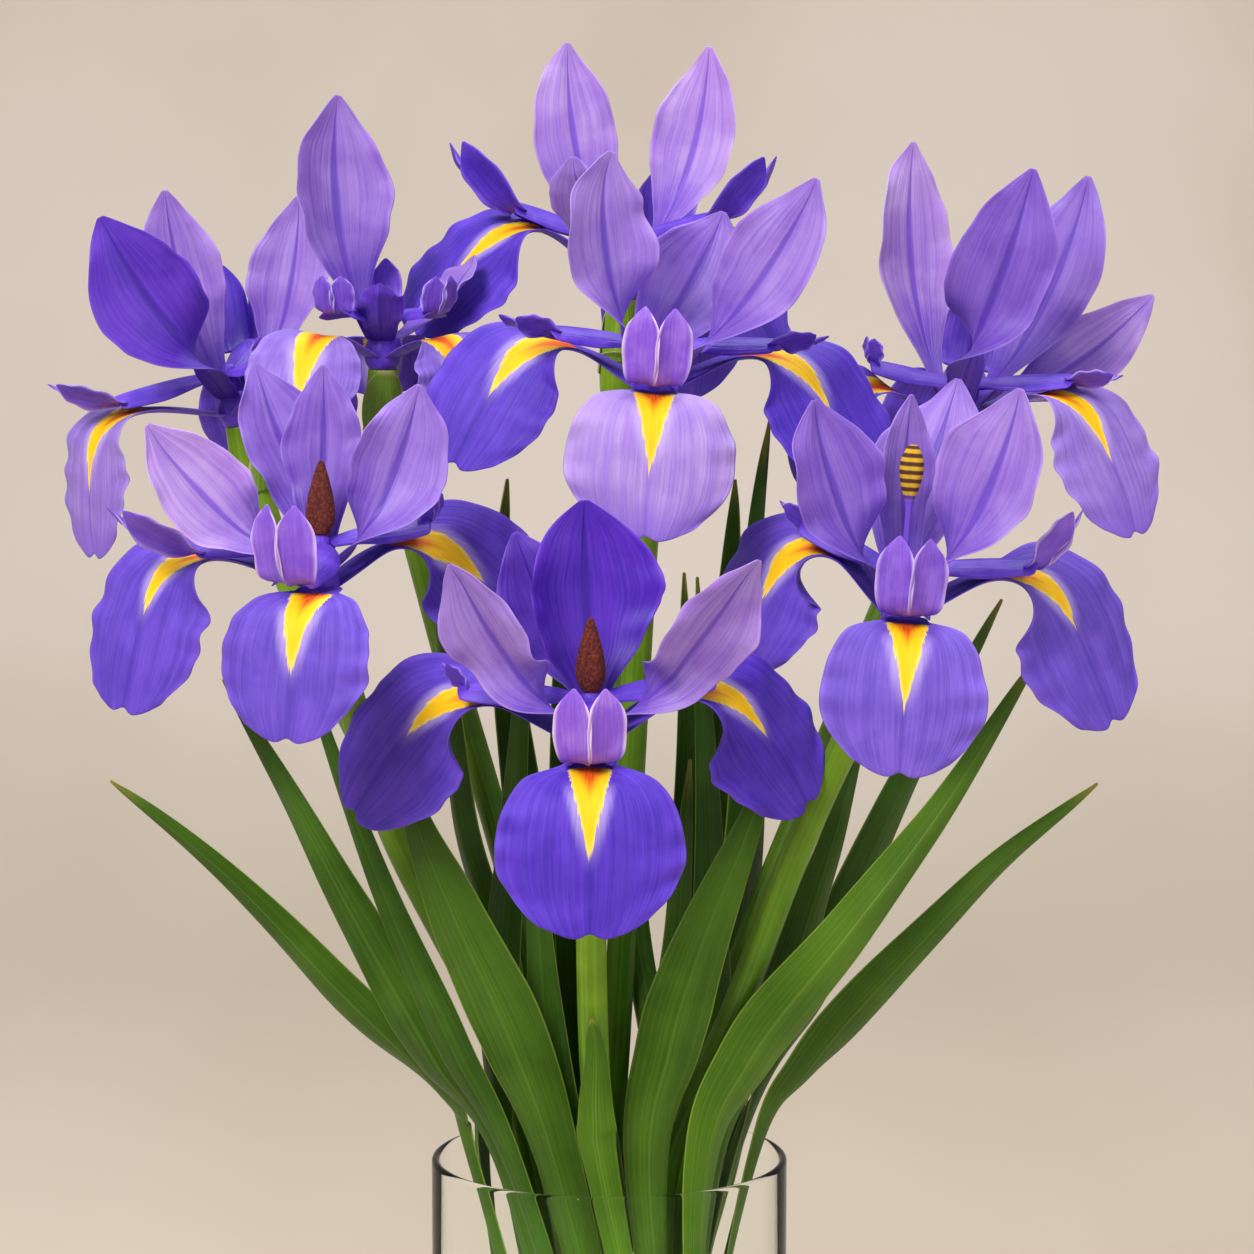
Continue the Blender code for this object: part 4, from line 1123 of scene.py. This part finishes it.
def build_leaf(name, rim, width, face, tips, tone, seed):
    """A strap leaf: folded along its keel, fine at the edges, and drawn out to a point."""
    azimuth, radius = rim
    points = vase_run(azimuth, radius, (0.0, 0.5, 1.0)) + [Vector(p) for p in tips]
    turn = shortest_turn(face - azimuth)

    def place(share, side):
        centre = on_curve(points, share)
        ahead = (on_curve(points, share + 0.01) - on_curve(points, share - 0.01)).normalized()
        above = (centre.z - VASE_HEIGHT) / VASE_HEIGHT
        facing = level(azimuth + CROSSING * max(0.0, -above) + turn * eased(above / LEAF_TURN_HEIGHT))
        across = ahead.cross(facing).normalized()
        normal = across.cross(ahead)
        base = LEAF_FOOT_SHARE + (1.0 - LEAF_FOOT_SHARE) * eased((share - 0.15) / 0.4)
        tip = min(1.0, (1.0 - share) / LEAF_TIP_SHARE) ** 0.75
        half = max(0.5 * width * base * tip, LEAF_LEAST_HALF_WIDTH)
        fold = LEAF_FOLD * half * abs(side) ** 1.3
        ripple = LEAF_RIPPLE * side * side * math.sin(share * 30 + seed) * eased((share - 0.4) / 0.2)
        return centre + across * (side * half) + normal * (ripple - fold)

    leaf = Tissue()
    leaf.sheet(10, 70, place, tone, thin_edge=0.4)
    leaf.finish(name, "leaf", name, None, 1.1)


# ---------------------------------------------------------------------------------------------------------
# Vase
# ---------------------------------------------------------------------------------------------------------


def arc(radius, degrees):
    """Points of an arc round its own centre."""
    return [(radius * math.cos(a), radius * math.sin(a)) for a in (math.radians(d) for d in degrees)]


def build_vase():
    """The glass turned from its profile: flat underside, rounded heel, even wall and a fire-polished rim."""
    outer, inner = VASE_RADIUS, VASE_RADIUS - VASE_WALL
    rim = VASE_WALL / 2
    heel = [(outer - VASE_HEEL + x, VASE_HEEL + z) for x, z in arc(VASE_HEEL, range(-90, 1, 15))]
    lip = [(outer - rim + x, VASE_HEIGHT - rim + z) for x, z in arc(rim, range(0, 181, 20))]
    turn_in = VASE_FLOOR + VASE_HEEL
    cove = [(inner - VASE_HEEL + x, turn_in + z) for x, z in arc(VASE_HEEL, range(0, -91, -15))]
    profile = [(0.0, 0.0), *heel, *lip, *cove, (0.0, VASE_FLOOR)]
    vase = Tissue()
    verts = [vase.bm.verts.new((r * MM, 0.0, z * MM)) for r, z in profile]
    edges = [vase.bm.edges.new(pair) for pair in zip(verts, verts[1:])]
    bmesh.ops.spin(
        vase.bm, geom=verts + edges, cent=(0, 0, 0), axis=(0, 0, 1), angle=2 * math.pi, steps=128,
        use_merge=True,
    )
    bmesh.ops.remove_doubles(vase.bm, verts=vase.bm.verts, dist=1e-6)
    bmesh.ops.recalc_face_normals(vase.bm, faces=vase.bm.faces)
    vase.finish("glass_vase", "glass", "vase", smoothing=0)


# ---------------------------------------------------------------------------------------------------------
# Studio
# ---------------------------------------------------------------------------------------------------------


def build_studio():
    """A pale floor that sweeps up to a low wall behind the vase, soft lamps, and an even room light."""
    sweep = bmesh.new()
    front, back, bend, top, half_breadth = -2.2, 1.2, 0.6, 0.64, 3.2
    profile = [(front, 0.0), (back, 0.0)]
    profile += [(back + y, bend + z) for y, z in arc(bend, range(-80, 1, 10))]
    profile.append((back + bend, top))
    verts = [sweep.verts.new((-half_breadth, y, z)) for y, z in profile]
    edges = [sweep.edges.new(pair) for pair in zip(verts, verts[1:])]
    extruded = bmesh.ops.extrude_edge_only(sweep, edges=edges)["geom"]
    moved = [part for part in extruded if isinstance(part, bmesh.types.BMVert)]
    bmesh.ops.translate(sweep, verts=moved, vec=(2 * half_breadth, 0.0, 0.0))
    mesh = bpy.data.meshes.new("backdrop")
    sweep.to_mesh(mesh)
    sweep.free()
    mesh.shade_smooth()
    mesh.materials.append(matt_backdrop())
    backdrop = bpy.data.objects.new("backdrop", mesh)
    SCENE.collection.objects.link(backdrop)

    lit = Vector((0, 0, 0.34))
    for name, place, size, power, colour in (
        ("key_lamp", (-0.8, -1.3, 1.6), 0.7, 37.0, "#FFFDF8"),
        ("fill_lamp", (1.5, -1.2, 0.9), 1.2, 10.0, "#FBFAFF"),
        ("top_lamp", (0.2, 0.5, 1.7), 0.9, 17.0, "#FFFFFF"),
    ):
        lamp = bpy.data.lights.new(name, "AREA")
        lamp.size = size
        lamp.energy = power
        lamp.color = linear(colour)[:3]
        holder = bpy.data.objects.new(name, lamp)
        holder.location = place
        holder.rotation_euler = (lit - Vector(place)).to_track_quat("-Z", "Y").to_euler()
        SCENE.collection.objects.link(holder)

    world = bpy.data.worlds.new("room")
    world.use_nodes = True
    ground = world.node_tree.nodes["Background"]
    ground.inputs["Color"].default_value = linear("#F4F3F5")
    ground.inputs["Strength"].default_value = 0.55
    SCENE.world = world
    SCENE.view_settings.view_transform = "Standard"


def build_camera():
    """A long lens a little above the flowers. The view ends just below the vase's rim."""
    aim = Vector((0.0045, 0.0, 0.335))
    place = Vector((0.0045, -1.2, 0.490))
    view_width = 0.3135
    lens = bpy.data.cameras.new("view")
    lens.lens = lens.sensor_width * (aim - place).length / view_width
    camera = bpy.data.objects.new("view", lens)
    camera.location = place
    camera.rotation_euler = (aim - place).to_track_quat("-Z", "Y").to_euler()
    SCENE.collection.objects.link(camera)
    SCENE.camera = camera


build_vase()
for seed, (name, flower) in enumerate(FLOWERS.items()):
    build_flower(name, flower, 1.0 + 3.7 * seed)
    build_stem(name, flower, 1.0 + 3.7 * seed)
for seed, (name, (rim, width, face, tips)) in enumerate(LEAVES.items()):
    build_leaf(name, rim, width, face, tips, LEAF_TONES[name], 2.0 + 1.9 * seed)
build_studio()
build_camera()
